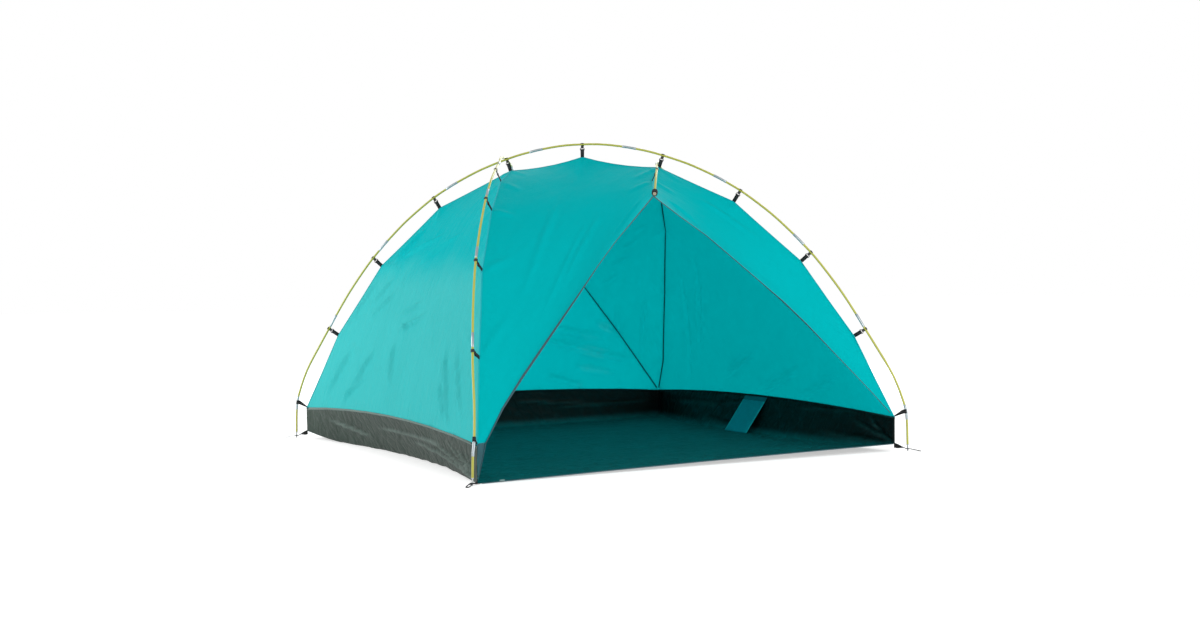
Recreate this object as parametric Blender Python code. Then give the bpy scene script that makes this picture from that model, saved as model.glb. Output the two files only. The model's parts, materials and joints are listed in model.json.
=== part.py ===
"""Beach tent: a square dome shelter clipped under three flexible poles, open at the front.

Metres, +Z up, +X along the front edge to the right, +Y to the back of the tent.
The origin is on the ground at the centre of the square floor.
"""
import math

import bmesh
import bpy
import numpy as np
from mathutils import Matrix, Vector

# Tent body
floor_side = 2.000
wall_height = 0.145
wall_rise = 0.036
wall_lean = 0.030
floor_edge_bow = 0.125
front_edge_bow = 0.020
fabric_thickness = 0.0012
seam_gap = 0.0004
binding_width = 0.011
binding_thickness = 0.0026
binding_most_share = 0.4
corner_lifts = {"bl": 0.034, "fr": 0.030, "br": 0.016, "fl": 0.0}

# Poles
arch_height = 1.383
foot_reach = 0.056
pole_diameter = 0.0095
tube_wall = 0.0022
cord_diameter = 0.0026
spacings_in_half_pole = 4.8764
ferrule_length = 0.065
ferrule_wall = 0.0006
running_gap = 0.0003
rear_foot_spacing = 0.028
tip_length = 0.030
tip_diameter = 0.0062
tip_plug_length = 0.020
tip_shoulder = 0.004
tip_end_share = 0.8

# Hooks and webbing
canopy_standoff = 0.057
hook_height = 0.023
hook_wall = 0.0030
hook_width = 0.013
bar_side = 0.0026
arm_width = 0.0020
eye_height = 0.0060
webbing_width = 0.0170
webbing_thickness = 0.0012
end_strap_height = 0.0160
end_strap_tail_height = 0.0050
lip_reach = 0.0065
tape_width = 0.010
tape_thickness = 0.0011
tape_gap = 0.0004
tape_end = 0.0015
rear_tape_end = 0.020
junction_gap = 0.016
brow_tape_end = 0.045

# Corners
ground_strap_width = 0.020
ground_strap_end_width = 0.013
ground_strap_thickness = 0.0014
eyelet_radius = 0.0090
eyelet_thickness = 0.0026
eyelet_height = 0.0100
eyelet_overlap = 0.0030
eyelet_play = 0.0004
peg_loop_length = 0.050
peg_loop_width = 0.018
peg_eye_length = 0.026
peg_eye_width = 0.009
peg_loop_clearance = 0.0009

# Brow and stash pocket
brow_sleeve_length = 0.022
brow_sleeve_width = 0.024
brow_cap_thickness = 0.0030
brow_cap_diameter = 0.0150
pocket_width = 0.190
pocket_centre = 0.010
pocket_flare = 0.040
pocket_gap = 0.0009
front_corner_clearance = 0.0020

half_side = floor_side / 2
half_diagonal = floor_side / math.sqrt(2)
half_span = half_diagonal + foot_reach
pole_radius = pole_diameter / 2
bore_radius = pole_radius - tube_wall
ferrule_bore = pole_radius + running_gap
ferrule_radius = ferrule_bore + ferrule_wall

# Rows of panels, counted across a panel
panel_columns = 8
brow_columns = 10
tube_sides = 8
cord_sides = 5
relax_steps = 160
lengthwise_share = 0.10

# Pole centrelines as shares of half_span, half_span and arch_height, in the two
# floor diagonals (u from the left rear to the right front corner, v from the left
# front to the right rear corner) and the height
main_pole_shares = [
    (1.0, 0.0, 0.0), (1.0, 0.0, 0.05), (0.9952, 0.0, 0.123), (0.873, 0.0, 0.391),
    (0.717, 0.0, 0.628), (0.503, 0.0, 0.832), (0.2605, 0.0, 0.9545), (0.0, 0.0, 1.0),
]
left_front_shares = [
    (0.0, -1.0, 0.0), (0.0, -1.0, 0.05), (0.0, -0.985, 0.115), (-0.0415, -0.878, 0.346),
    (-0.090, -0.728, 0.568), (-0.143, -0.510, 0.764), (-0.203, -0.238, 0.909),
    (-0.2365, -0.102, 0.942),
]
left_rear_shares = [
    (-0.272, 0.092, 0.951), (-0.290, 0.170, 0.9335), (-0.306, 0.374, 0.860),
    (-0.279, 0.578, 0.709), (-0.2204, 0.737, 0.528), (-0.112, 0.862, 0.333),
    (-0.030, 0.978, 0.135), (-0.0136, 1.0, 0.05), (-0.0136, 1.0, 0.0),
]
left_crossing_shares = (-0.264, 0.0, 0.9625)
brow_front_shares = [(0.3088, -0.306, 0.8134), (0.2905, -0.216, 0.868), (0.2735, -0.136, 0.9017)]
brow_crossing_shares = (0.2395, 0.0, 0.9313)
brow_rear_shares = [
    (0.2095, 0.170, 0.9385), (0.176, 0.381, 0.868), (0.148, 0.545, 0.762),
    (0.110, 0.695, 0.600), (0.066, 0.835, 0.385), (0.030, 0.960, 0.165),
    (0.0136, 1.0, 0.05), (0.0136, 1.0, 0.0),
]

# Hooks along each pole, as shares of a section from the crossing or the apex
main_left_hook_shares = [0.833, 1.738, 2.678, 3.600]
main_right_hook_shares = [0.862, 1.738, 2.678, 3.600]
left_hook_shares = [0.800, 1.625, 2.611, 3.611]
brow_hook_shares = [0.978, 1.978, 2.978, 3.978]
brow_front_hook_share = 0.490
end_strap_share = 4.489
brow_ferrule_share = 0.167
interval_shares = (0.25, 0.65)
centre_interval_share = 0.1667

# Opening edges as shares of the way from the brow's tip to the floor corner or the
# tub top, with the edge's bow above the straight line as a share of arch_height, and
# close to the left corner as a share of wall_height
left_edge_shares = [
    (0.0, 0.0), (0.13, 0.026), (0.27, 0.055), (0.42, 0.064), (0.57, 0.073),
    (0.72, 0.083), (0.85, 0.090),
]
left_corner_shares = [(0.93, 0.782), (0.975, 0.572), (0.99, 0.286), (1.0, 0.0)]
right_edge_shares = [
    (0.0, 0.0), (0.11, 0.013), (0.22, 0.030), (0.34, 0.036), (0.45, 0.041),
    (0.55, 0.045), (0.66, 0.039), (0.77, 0.026), (0.87, 0.018), (0.94, 0.009), (1.0, 0.0),
]
top_sag_share = 0.034
side_sag_share = 0.004


def diagonal(u, v, z):
    """Floor diagonals to X and Y: u to the right front, v to the right rear."""
    return np.array([(u + v) / math.sqrt(2), (v - u) / math.sqrt(2), z])


def scaled(shares):
    u, v, z = shares
    return diagonal(u * half_span, v * half_span, z * arch_height)


def unit(vector):
    return vector / np.linalg.norm(vector)


def smooth_curve(points, steps=24):
    """A smooth curve through the points, with chord-length cubic pieces."""
    points = np.array(points)
    chords = np.linalg.norm(np.diff(points, axis=0), axis=1)
    slopes = np.diff(points, axis=0) / chords[:, None]
    tangents = np.empty_like(points)
    tangents[0], tangents[-1] = slopes[0], slopes[-1]
    before, after = chords[:-1, None], chords[1:, None]
    tangents[1:-1] = (slopes[:-1] * after + slopes[1:] * before) / (before + after)
    curve = []
    for i, chord in enumerate(chords):
        for t in np.linspace(0, 1, steps, endpoint=False):
            curve.append(
                (2 * t**3 - 3 * t**2 + 1) * points[i] + (t**3 - 2 * t**2 + t) * chord * tangents[i]
                + (3 * t**2 - 2 * t**3) * points[i + 1] + (t**3 - t**2) * chord * tangents[i + 1])
    curve.append(points[-1])
    return np.array(curve)


def curve_length(points):
    return float(np.linalg.norm(np.diff(smooth_curve(points), axis=0), axis=1).sum())


# From one ferrule to the next, as all the poles' sections are cut to the main pole's
section_length = curve_length([scaled(p) for p in main_pole_shares]) / spacings_in_half_pole


class Pole:
    """A pole's centreline: straight in its ferrules, bent in a few steps between them.

    Places along it are arc lengths from its zero point, the apex or the crossing.
    """

    def __init__(self, points, zero_index, ferrules, side, grips):
        curve = smooth_curve(points)
        arcs = np.concatenate([[0], np.cumsum(np.linalg.norm(np.diff(curve, axis=0), axis=1))])
        steps = (len(curve) - 1) // (len(points) - 1)
        self.curve, self.arcs = curve, arcs - arcs[zero_index * steps]
        self.start, self.end = self.arcs[0], self.arcs[-1]
        self.ferrules, self.side, self.grips = sorted(ferrules), np.array(side), grips
        self.stations = self.list_stations()
        self.knots = np.array([self.on_curve(s) for s in self.stations])

    def list_stations(self):
        """Bends at the ferrules' ends and between them, away from what grips the pole."""
        half = ferrule_length / 2
        ends = [self.start] + [c + k * half for c in self.ferrules for k in (-1, 1)] + [self.end]
        stations = set(ends)
        for low, high in zip(ends[0::2], ends[1::2]):
            span = high - low
            if span < ferrule_length * 3:
                continue
            if low < 0 < high:
                stations.update([-section_length * centre_interval_share,
                                 section_length * centre_interval_share])
                continue
            for share in interval_shares:
                stations.add(low + share * span if low >= 0 else high - share * span)
        free = [s for s in stations - set(ends)
                if all(abs(s - grip) > end_strap_height for grip in self.grips)]
        return sorted(ends + free)

    def on_curve(self, arc):
        return np.array([np.interp(arc, self.arcs, self.curve[:, k]) for k in range(3)])

    def at(self, arc):
        """Place on the stepped centreline at this arc length."""
        return np.array([np.interp(arc, self.stations, self.knots[:, k]) for k in range(3)])

    def direction(self, arc):
        i = int(np.clip(np.searchsorted(self.stations, arc) - 1, 0, len(self.stations) - 2))
        return unit(self.knots[i + 1] - self.knots[i])

    def route(self, low, high):
        """Arc lengths of the stations from low to high, with both ends."""
        return [low] + [s for s in self.stations if low < s < high] + [high]

    def places(self, arcs):
        return [self.at(s) for s in arcs]


def basis(direction, side):
    """Two directions square to a direction, the first nearest to side."""
    direction = unit(direction)
    first = unit(side - direction * np.dot(side, direction))
    return first, np.cross(direction, first)


def circle_points(radius, sides=tube_sides):
    angles = [2 * math.pi * (k + 0.5) / sides for k in range(sides)]
    return [(radius * math.cos(a), radius * math.sin(a)) for a in angles]


def hole_radius(radius):
    """Corner radius of an eight-sided hole whose flats clear a round of this radius."""
    return (radius + running_gap) / math.cos(math.pi / tube_sides)


def ring_on(place, before, after, side, outline):
    """An outline set on a bent route, in the plane that halves the bend."""
    first, second = basis(before, side)
    normal = unit(unit(before) + unit(after))
    ring = []
    for a, b in outline:
        point = place + a * first + b * second
        slide = np.dot(place - point, normal) / np.dot(unit(before), normal)
        ring.append(point + slide * unit(before))
    return ring


def loft(bm, rings, closed=False, there_and_back=False):
    """Skin rings of equal counts; closed joins the last to the first, else both are capped.

    Rings that run there and back along a thin wall's two sides have both cut alike.
    """
    loops = [[bm.verts.new(p) for p in ring] for ring in rings]
    pairs = list(zip(loops[:-1], loops[1:])) + ([(loops[-1], loops[0])] if closed else [])
    for low, high in pairs:
        for i in range(len(low)):
            j = (i + 1) % len(low)
            if not there_and_back:
                bm.faces.new((low[i], low[j], high[j], high[i]))
            elif i < len(low) / 2:
                bm.faces.new((low[i], low[j], high[j]))
                bm.faces.new((low[i], high[j], high[i]))
            else:
                bm.faces.new((low[i], low[j], high[i]))
                bm.faces.new((low[j], high[j], high[i]))
    if not closed:
        bm.faces.new(list(reversed(loops[0])))
        bm.faces.new(loops[-1])


def rings_along(places, side, outline):
    rings = []
    for i, place in enumerate(places):
        before = places[i] - places[i - 1] if i else places[1] - places[0]
        after = places[i + 1] - places[i] if i + 1 < len(places) else before
        rings.append(ring_on(place, before, after, side, outline))
    return rings


def add_rod(bm, places, side, radius, sides=tube_sides):
    loft(bm, rings_along(places, side, circle_points(radius, sides)))


def add_tube(bm, places, side, outer, inner):
    outside = rings_along(places, side, circle_points(outer))
    inside = rings_along(places, side, circle_points(inner))
    loft(bm, outside + list(reversed(inside)), closed=True)


def pole_mesh(name, pole, low, high):
    """The sections with their ferrules as one hollow body, thicker at each ferrule."""
    arcs = pole.route(low, high)
    places = pole.places(arcs)
    thin = rings_along(places, pole.side, circle_points(pole_radius))
    thick = rings_along(places, pole.side, circle_points(ferrule_radius))
    bore = rings_along(places, pole.side, circle_points(bore_radius))
    starts = [c - ferrule_length / 2 for c in pole.ferrules]
    ends = [c + ferrule_length / 2 for c in pole.ferrules]
    outside = []
    for i, arc in enumerate(arcs):
        if arc in starts:
            outside += [thin[i], thick[i]]
        elif arc in ends:
            outside += [thick[i], thin[i]]
        else:
            outside.append(thin[i])
    bm = bmesh.new()
    loft(bm, outside + list(reversed(bore)), closed=True)
    return finish_mesh(bm, name)


def new_material(name, colour, roughness, metallic=0.0):
    material = bpy.data.materials.new(name)
    material.use_nodes = True
    shader = material.node_tree.nodes["Principled BSDF"]
    shader.inputs["Base Color"].default_value = (*colour, 1.0)
    shader.inputs["Roughness"].default_value = roughness
    shader.inputs["Metallic"].default_value = metallic
    material.diffuse_color = (*colour, 1.0)
    return material


def finish_mesh(bm, name):
    bmesh.ops.recalc_face_normals(bm, faces=bm.faces)
    mesh = bpy.data.meshes.new(name)
    bm.to_mesh(mesh)
    bm.free()
    return mesh


def add_object(name, mesh, material, smooth=False):
    if not mesh.materials:
        mesh.materials.append(material)
    if smooth:
        mesh.shade_smooth()
        mesh.set_sharp_from_angle(angle=math.radians(50))
    piece = bpy.data.objects.new(name, mesh)
    bpy.context.collection.objects.link(piece)
    return piece


def build_poles():
    """The three pole centrelines; the left one is lifted clear over the main one."""
    mirrored = [(-u, v, z) for u, v, z in main_pole_shares]
    ferrules = [section_length * (k + 0.5) for k in range(5)]
    both = [-c for c in ferrules] + ferrules
    rear_half = rear_foot_spacing / 2 / half_span
    straps = [-section_length * end_strap_share, section_length * end_strap_share]
    main_hooks = ([0.0] + [-section_length * s for s in main_left_hook_shares]
                  + [section_length * s for s in main_right_hook_shares])
    main = Pole([scaled(p) for p in mirrored + main_pole_shares[-2::-1]],
                len(main_pole_shares) - 1, both, diagonal(0, 1, 0), straps + main_hooks)

    left_rear = [(-rear_half if v == 1.0 else u, v, z) for u, v, z in left_rear_shares]
    left_hooks = [k * section_length * s for s in left_hook_shares for k in (-1, 1)]
    crossing = list(left_crossing_shares)
    for _ in range(4):
        points = [scaled(p) for p in left_front_shares + [tuple(crossing)] + left_rear]
        left = Pole(points, len(left_front_shares), both, diagonal(1, 0, 0), straps + left_hooks)
        crossing[2] += crossing_lift(left, main) / arch_height

    brow_rear = [(rear_half if v == 1.0 else u, v, z) for u, v, z in brow_rear_shares]
    shares = brow_rear[::-1] + [brow_crossing_shares] + brow_front_shares[::-1]
    brow_ferrules = [section_length * (brow_ferrule_share - k) for k in range(5)]
    brow_hooks = [-section_length * s for s in brow_hook_shares]
    brow_hooks.append(section_length * brow_front_hook_share)
    brow = Pole([scaled(p) for p in shares], len(brow_rear), brow_ferrules, diagonal(1, 0, 0),
                straps[:1] + brow_hooks)
    return main, left, brow


def crossing_lift(upper, lower):
    """How far the upper pole must rise at its crossing to rest on the lower one."""
    over = upper.at(0)
    arcs = np.linspace(lower.start, lower.end, 4001)
    places = np.array([lower.at(s) for s in arcs])
    nearest = np.argmin(np.linalg.norm(places[:, :2] - over[:2], axis=1))
    under = places[nearest]
    slope = unit(np.cross(upper.direction(0), lower.direction(arcs[nearest])))
    return (pole_diameter + running_gap) / abs(slope[2]) - (over[2] - under[2])


def outward(pole, arc):
    """Direction square to the pole, away from the room that the tent encloses."""
    place, along = pole.at(arc), pole.direction(arc)
    middle = np.array([0, 0, arch_height / 4])
    away = place - middle
    return unit(away - along * np.dot(away, along))


def seat(pole, arc):
    """The seam point that hangs from the pole here."""
    return pole.at(arc) - canopy_standoff * outward(pole, arc)


def span(start, end, count, sag_share, down):
    """Points along a seam from one hook to the next, with the fabric's sag between."""
    length = np.linalg.norm(end - start)
    points = []
    for t in np.linspace(0, 1, count + 1):
        points.append(start + (end - start) * t + down * sag_share * length * 4 * t * (1 - t))
    return points


def seam(places, counts, sag_shares):
    """A seam through its hook places, each span with its own count and sag."""
    points = [places[0]]
    centre = np.array([0, 0, arch_height / 3])
    for low, high, count, share in zip(places[:-1], places[1:], counts, sag_shares):
        down = unit(centre - (low + high) / 2)
        points += span(low, high, count, share, down)[1:]
    return points


def resample(points, count):
    """Equal steps along a smooth curve through the points."""
    curve = smooth_curve(points)
    arcs = np.concatenate([[0], np.cumsum(np.linalg.norm(np.diff(curve, axis=0), axis=1))])
    wanted = np.linspace(0, arcs[-1], count + 1)
    return [np.array([np.interp(s, arcs, curve[:, k]) for k in range(3)]) for s in wanted]


def panel(edge_a, edge_b, first_row, last_row):
    """A taut panel as rows of points: row i runs from edge_a[i] to edge_b[i]."""
    rows, columns = len(edge_a), len(last_row)
    grid = np.zeros((rows, columns, 3))
    for i in range(rows):
        share = i / (rows - 1)
        for j in range(columns):
            t = j / (columns - 1)
            straight = edge_a[i] * (1 - t) + edge_b[i] * t
            rise = (first_row[j] - (edge_a[0] * (1 - t) + edge_b[0] * t)) * (1 - share)
            drop = (last_row[j] - (edge_a[-1] * (1 - t) + edge_b[-1] * t)) * share
            grid[i, j] = straight + rise + drop
    for _ in range(relax_steps):
        lengthwise = (grid[:-2, 1:-1] + grid[2:, 1:-1]) / 2
        crosswise = (grid[1:-1, :-2] + grid[1:-1, 2:]) / 2
        grid[1:-1, 1:-1] = lengthwise * lengthwise_share + crosswise * (1 - lengthwise_share)
    return grid


class Sheet:
    """A fabric piece's middle surface: points and faces that look outwards."""

    def __init__(self, name, grids, toward, thickness=fabric_thickness, inset=seam_gap / 2):
        self.name, self.thickness, self.inset = name, thickness, inset
        self.points, self.faces, self.keys = [], [], {}
        for grid, away in zip(grids, toward):
            self.add_grid(grid, away)

    def index(self, point):
        key = tuple(int(round(float(c) / (seam_gap / 4))) for c in point)
        if key not in self.keys:
            self.keys[key] = len(self.points)
            self.points.append(np.array(point))
        return self.keys[key]

    def add_grid(self, grid, away):
        rows, columns = len(grid), len(grid[0])
        faces = []
        for i in range(rows - 1):
            for j in range(columns - 1):
                corners = [grid[i][j], grid[i][j + 1], grid[i + 1][j + 1], grid[i + 1][j]]
                face = []
                for corner in corners:
                    k = self.index(corner)
                    if k not in face:
                        face.append(k)
                faces += self.split(face)
        outwards = sum(np.dot(self.normal(face), away(self.middle(face))) for face in faces)
        self.faces += faces if outwards > 0 else [face[::-1] for face in faces]

    def split(self, face):
        """Triangles, so that both sides of the fabric are cut along the same diagonal."""
        if len(face) < 4:
            return [face] if len(face) == 3 else []
        a, b, c, d = (self.points[k] for k in face)
        if np.linalg.norm(c - a) < np.linalg.norm(d - b):
            return [face[:3], [face[0], face[2], face[3]]]
        return [[face[0], face[1], face[3]], face[1:]]

    def middle(self, face):
        return sum(self.points[k] for k in face) / len(face)

    def normal(self, face):
        a, b, c = (self.points[k] for k in face)
        return unit(np.cross(b - a, c - a))


def shared_normals(sheets, evenness=0.01):
    """One offset for every point, one unit from each face plane that meets there."""
    normals = {}
    for sheet in sheets:
        names = {index: key for key, index in sheet.keys.items()}
        for face in sheet.faces:
            for index in face:
                normals.setdefault(names[index], []).append(sheet.normal(face))
    shared = {}
    for key, found in normals.items():
        planes = np.array(found)
        mean = unit(planes.sum(axis=0))
        weight = evenness * len(planes)
        left = planes.T @ planes + weight * np.eye(3)
        right = planes.sum(axis=0) + weight * mean
        shared[key] = np.linalg.solve(left, right)
    return shared


def border_of(sheet):
    """Each border point's two inward directions, from the border edges on either side."""
    edges = {}
    for face in sheet.faces:
        for slot, index in enumerate(face):
            edges[(index, face[(slot + 1) % len(face)])] = face
    inward = {}
    for (a, b), face in edges.items():
        if (b, a) in edges:
            continue
        along = unit(sheet.points[b] - sheet.points[a])
        into = np.cross(sheet.normal(face), along)
        for index in (a, b):
            inward.setdefault(index, []).append(into)
    return inward, [edge for edge in edges if (edge[1], edge[0]) not in edges]


def sheet_mesh(sheet, shared):
    """The fabric as a closed solid, a seam gap short of its neighbours."""
    names = {index: key for key, index in sheet.keys.items()}
    inward, border = border_of(sheet)
    bm = bmesh.new()
    outer, inner = [], []
    for index, point in enumerate(sheet.points):
        place = np.array(point)
        if index in inward:
            ones = inward[index]
            total = sum(ones)
            place = place + 2 * sheet.inset * total / np.dot(total, total)
        offset = shared[names[index]] * sheet.thickness / 2
        outer.append(bm.verts.new(place + offset))
        inner.append(bm.verts.new(place - offset))
    for face in sheet.faces:
        bm.faces.new([outer[k] for k in face])
        bm.faces.new([inner[k] for k in reversed(face)])
    for a, b in border:
        bm.faces.new((outer[b], outer[a], inner[a], inner[b]))
    return finish_mesh(bm, sheet.name)


def away_from_middle(place):
    return place - np.array([0, 0, arch_height / 4])


def downwards(place):
    return np.array([0, 0, -1])


def tub_corner(name, top):
    signs = {"fl": (-1, -1), "fr": (1, -1), "bl": (-1, 1), "br": (1, 1)}[name]
    height = wall_height if top else corner_lifts[name] + fabric_thickness / 2
    return np.array([signs[0] * half_side, signs[1] * half_side, height])


def tub_edge(start, end, top, bow):
    """A tub wall's top or floor edge, bowed inwards and, at the top, upwards.

    The front edge runs straight to its lifted corner; the others lie on the ground.
    """
    low, high = tub_corner(start, top), tub_corner(end, top)
    middle = (low + high) / 2
    inwards = -unit(np.array([middle[0], middle[1], 0]))
    floor_level = fabric_thickness / 2
    points = []
    for t in np.linspace(0, 1, panel_columns + 1):
        arch = 4 * t * (1 - t)
        point = low + (high - low) * t + inwards * bow * arch
        if top:
            point[2] += wall_rise * arch
        elif 0 < t < 1 and (start, end) != ("fl", "fr"):
            point[2] = floor_level
        points.append(point)
    return points


def build_panels(main, left, brow):
    """The grids of every fabric piece and the seams that they share."""
    over = [seat(main, -section_length * s) for s in main_left_hook_shares]
    right = [seat(main, section_length * s) for s in main_right_hook_shares]
    tops = {name: tub_corner(name, True) for name in corner_lifts}
    left_fronts = [seat(left, -section_length * s) for s in left_hook_shares]
    left_rears = [seat(left, section_length * s) for s in left_hook_shares]
    brow_rears = [seat(brow, -section_length * s) for s in brow_hook_shares]
    brow_front = seat(brow, section_length * brow_front_hook_share)
    brow_drop = brow_sleeve_width / 2 + running_gap + binding_thickness
    tip = brow.at(brow.end) - outward(brow, brow.end) * brow_drop

    sag, side = top_sag_share, side_sag_share
    four, five = (3, 3, 2, 2), (2, 2, 2, 2, 2)
    seams = {
        "main_left": seam(over + [tops["bl"]], four, (side,) * 4),
        "main_right": seam(right + [tops["fr"]], four, (side,) * 4),
        "main_top": seam([over[0], seat(main, 0), right[0]], (5, 5), (sag, sag)),
        "left_front": seam([over[0]] + left_fronts + [tops["fl"]], five, (side,) * 5),
        "left_rear": seam([over[0]] + left_rears + [tops["br"]], five, (side,) * 5),
        "brow_rear": seam([right[0]] + brow_rears + [tops["br"]], five, (side,) * 5),
        "brow_front": seam([right[0], brow_front, tip], (5, 6), (side, side)),
    }
    tub_tops = {
        "left": tub_edge("bl", "fl", True, wall_lean),
        "back": tub_edge("bl", "br", True, wall_lean),
        "right": tub_edge("fr", "br", True, wall_lean),
    }
    low_corner = tub_corner("fl", False) + np.array([0, -front_corner_clearance,
                                                     binding_thickness])
    left_edge = opening_edge(tip, low_corner, left_edge_shares, left_corner_shares)
    right_edge = opening_edge(tip, tops["fr"], right_edge_shares, [])
    left_top, right_top = [over[0]] * (panel_columns + 1), [right[0]] * (panel_columns + 1)
    brow_top, rear_end = [right[0]] * (brow_columns + 1), [tops["br"]] * (brow_columns + 1)
    grids = {
        "left_wall": panel(seams["main_left"], seams["left_front"], left_top, tub_tops["left"]),
        "back_wall": panel(seams["main_left"], seams["left_rear"], left_top, tub_tops["back"]),
        "right_wall": panel(seams["main_right"], seams["brow_rear"], right_top,
                            tub_tops["right"]),
        "rear_gore": panel(seams["left_rear"], seams["brow_rear"], seams["main_top"], rear_end),
        "front_left_panel": panel(seams["left_front"] + [low_corner], seams["brow_front"],
                                  seams["main_top"], resample(left_edge, brow_columns)[::-1]),
        "front_right_panel": panel(seams["brow_front"], seams["main_right"] + [tops["fr"]],
                                   brow_top, resample(right_edge, brow_columns)),
    }
    return grids, seams, tub_tops


def build_fabric(grids, tub_tops, teal, light, tub, grey):
    """The canopy's six panels, the opening's bindings and the tub, sewn at shared seams."""
    grids = dict(grids)
    sheets = []
    for side, corner in (("left", 0), ("right", brow_columns)):
        name = f"front_{side}_panel"
        grids[name], strip = split_binding(grids[name], corner)
        sheets.append(Sheet(f"opening_binding_{side}", [strip], [away_from_middle],
                            binding_thickness, seam_gap))
    for name, grid in grids.items():
        sheets.append(Sheet("canopy_" + name, [grid], [away_from_middle]))
    sheets.append(tub_sheet(tub_tops))
    shared = shared_normals(sheets)
    colours = {"canopy_left_wall": light, "bathtub_floor": tub,
               "opening_binding_left": grey, "opening_binding_right": grey}
    for sheet in sheets:
        add_object(sheet.name, sheet_mesh(sheet, shared), colours.get(sheet.name, teal), True)


def opening_edge(tip, corner, shares, corner_shares):
    """An opening edge bowed upwards from the straight line, and steep beside the tub."""
    rises = [(t, rise * arch_height) for t, rise in shares]
    rises += [(t, rise * wall_height) for t, rise in corner_shares]
    return [tip + (corner - tip) * t + np.array([0, 0, rise]) for t, rise in rises]


def split_binding(grid, corner):
    """Cut the last strip of a panel off at the binding's width, to a point at the corner."""
    edge, before = grid[-1], grid[-2]
    inner = []
    for j, point in enumerate(edge):
        along = unit(edge[min(j + 1, len(edge) - 1)] - edge[max(j - 1, 0)])
        reach = before[j] - point
        square = reach - along * np.dot(reach, along)
        room = np.linalg.norm(square)
        width = 0.0 if j == corner else min(binding_width, room * binding_most_share)
        inner.append(point + square * (width / room if width else 0.0))
    return np.array(list(grid[:-1]) + [inner]), [inner, list(edge)]


def tub_sheet(tub_tops):
    """Floor and three low walls in one waterproof cloth."""
    bottoms = {
        "left": tub_edge("bl", "fl", False, floor_edge_bow),
        "back": tub_edge("bl", "br", False, floor_edge_bow),
        "right": tub_edge("fr", "br", False, floor_edge_bow),
        "front": tub_edge("fl", "fr", False, front_edge_bow),
    }
    floor = panel(bottoms["left"][::-1], bottoms["right"], bottoms["front"], bottoms["back"])
    floor[1:-1, 1:-1, 2] = fabric_thickness / 2
    grids, toward = [floor], [downwards]
    for side in ("left", "back", "right"):
        grids.append([bottoms[side], tub_tops[side]])
        toward.append(lambda place: np.array([place[0], place[1], 0]))
    return Sheet("bathtub_floor", grids, toward)


class SeamTape:
    """A narrow tape sewn over a seam, folded to lie on the two panels that it joins."""

    def __init__(self, points, beside_a, beside_b, start_trim, end_trim):
        points = np.array(points)
        arcs = np.concatenate([[0], np.cumsum(np.linalg.norm(np.diff(points, axis=0), axis=1))])
        low, high = start_trim, arcs[-1] - end_trim
        inner = [s for s in arcs if low + tape_width < s < high - tape_width]
        wanted = [low] + inner + [high]
        self.arcs = np.array(wanted) - low
        self.points = self.read(points, arcs, wanted)
        self.rings, self.ridge = [], []
        for i, point in enumerate(self.points):
            before, after = self.points[max(i - 1, 0)], self.points[min(i + 1, len(wanted) - 1)]
            k = int(np.argmin(np.abs(arcs - wanted[i])))
            near = slice(max(k - 1, 0), k + 2)
            beside = [[place for place, own in zip(side[near], points[near])
                       if np.linalg.norm(place - own) > tape_width / 2]
                      for side in (beside_a, beside_b)]
            self.add_ring(before, point, after, beside)

    @staticmethod
    def read(values, arcs, wanted):
        return np.stack([np.interp(wanted, arcs, np.array(values)[:, k]) for k in range(3)], 1)

    def add_ring(self, before, point, after, beside):
        """A folded section whose wings clear every panel cell that meets this place."""
        away = away_from_middle(point)
        along = unit(after - before)
        edges = [edge for edge in (point - before, after - point) if np.any(edge)]
        wings, normals = [], []
        for places in beside:
            options = []
            for reach in (place - point for place in places):
                for edge in edges:
                    plane = np.cross(edge, reach)
                    wing = np.cross(along, plane)
                    if np.linalg.norm(plane) > np.linalg.norm(edge) * tape_width / 4:
                        options.append(unit(wing if np.dot(wing, reach) > 0 else -wing))
            wing = max(options, key=lambda option: np.dot(option, away))
            normal = np.cross(along, wing)
            normals.append(normal if np.dot(normal, away) > 0 else -normal)
            wings.append(wing)
        mitre = (normals[0] + normals[1]) / (1 + np.dot(normals[0], normals[1]))
        base = fabric_thickness / 2 + tape_gap
        ring = []
        for height in (base + tape_thickness, base):
            row = [point + wings[0] * tape_width / 2 + normals[0] * height,
                   point + mitre * height,
                   point + wings[1] * tape_width / 2 + normals[1] * height]
            ring += row if height > base else row[::-1]
        self.rings.append(ring)
        self.ridge.append(point + mitre * (base + tape_thickness / 2))

    def nearest(self, place):
        """Arc length of the tape's point nearest to a place on the seam."""
        arcs = np.linspace(0, self.arcs[-1], 4001)
        spots = self.read(self.points, self.arcs, arcs)
        return arcs[np.argmin(np.linalg.norm(spots - place, axis=1))]

    def anchors(self, place, half_width):
        """Three places in the tape's thickness: to one side, at the place and past it."""
        arc = self.nearest(place)
        wanted = [arc - half_width, arc, arc + half_width]
        return self.read(np.array(self.ridge), self.arcs, wanted)


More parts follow.
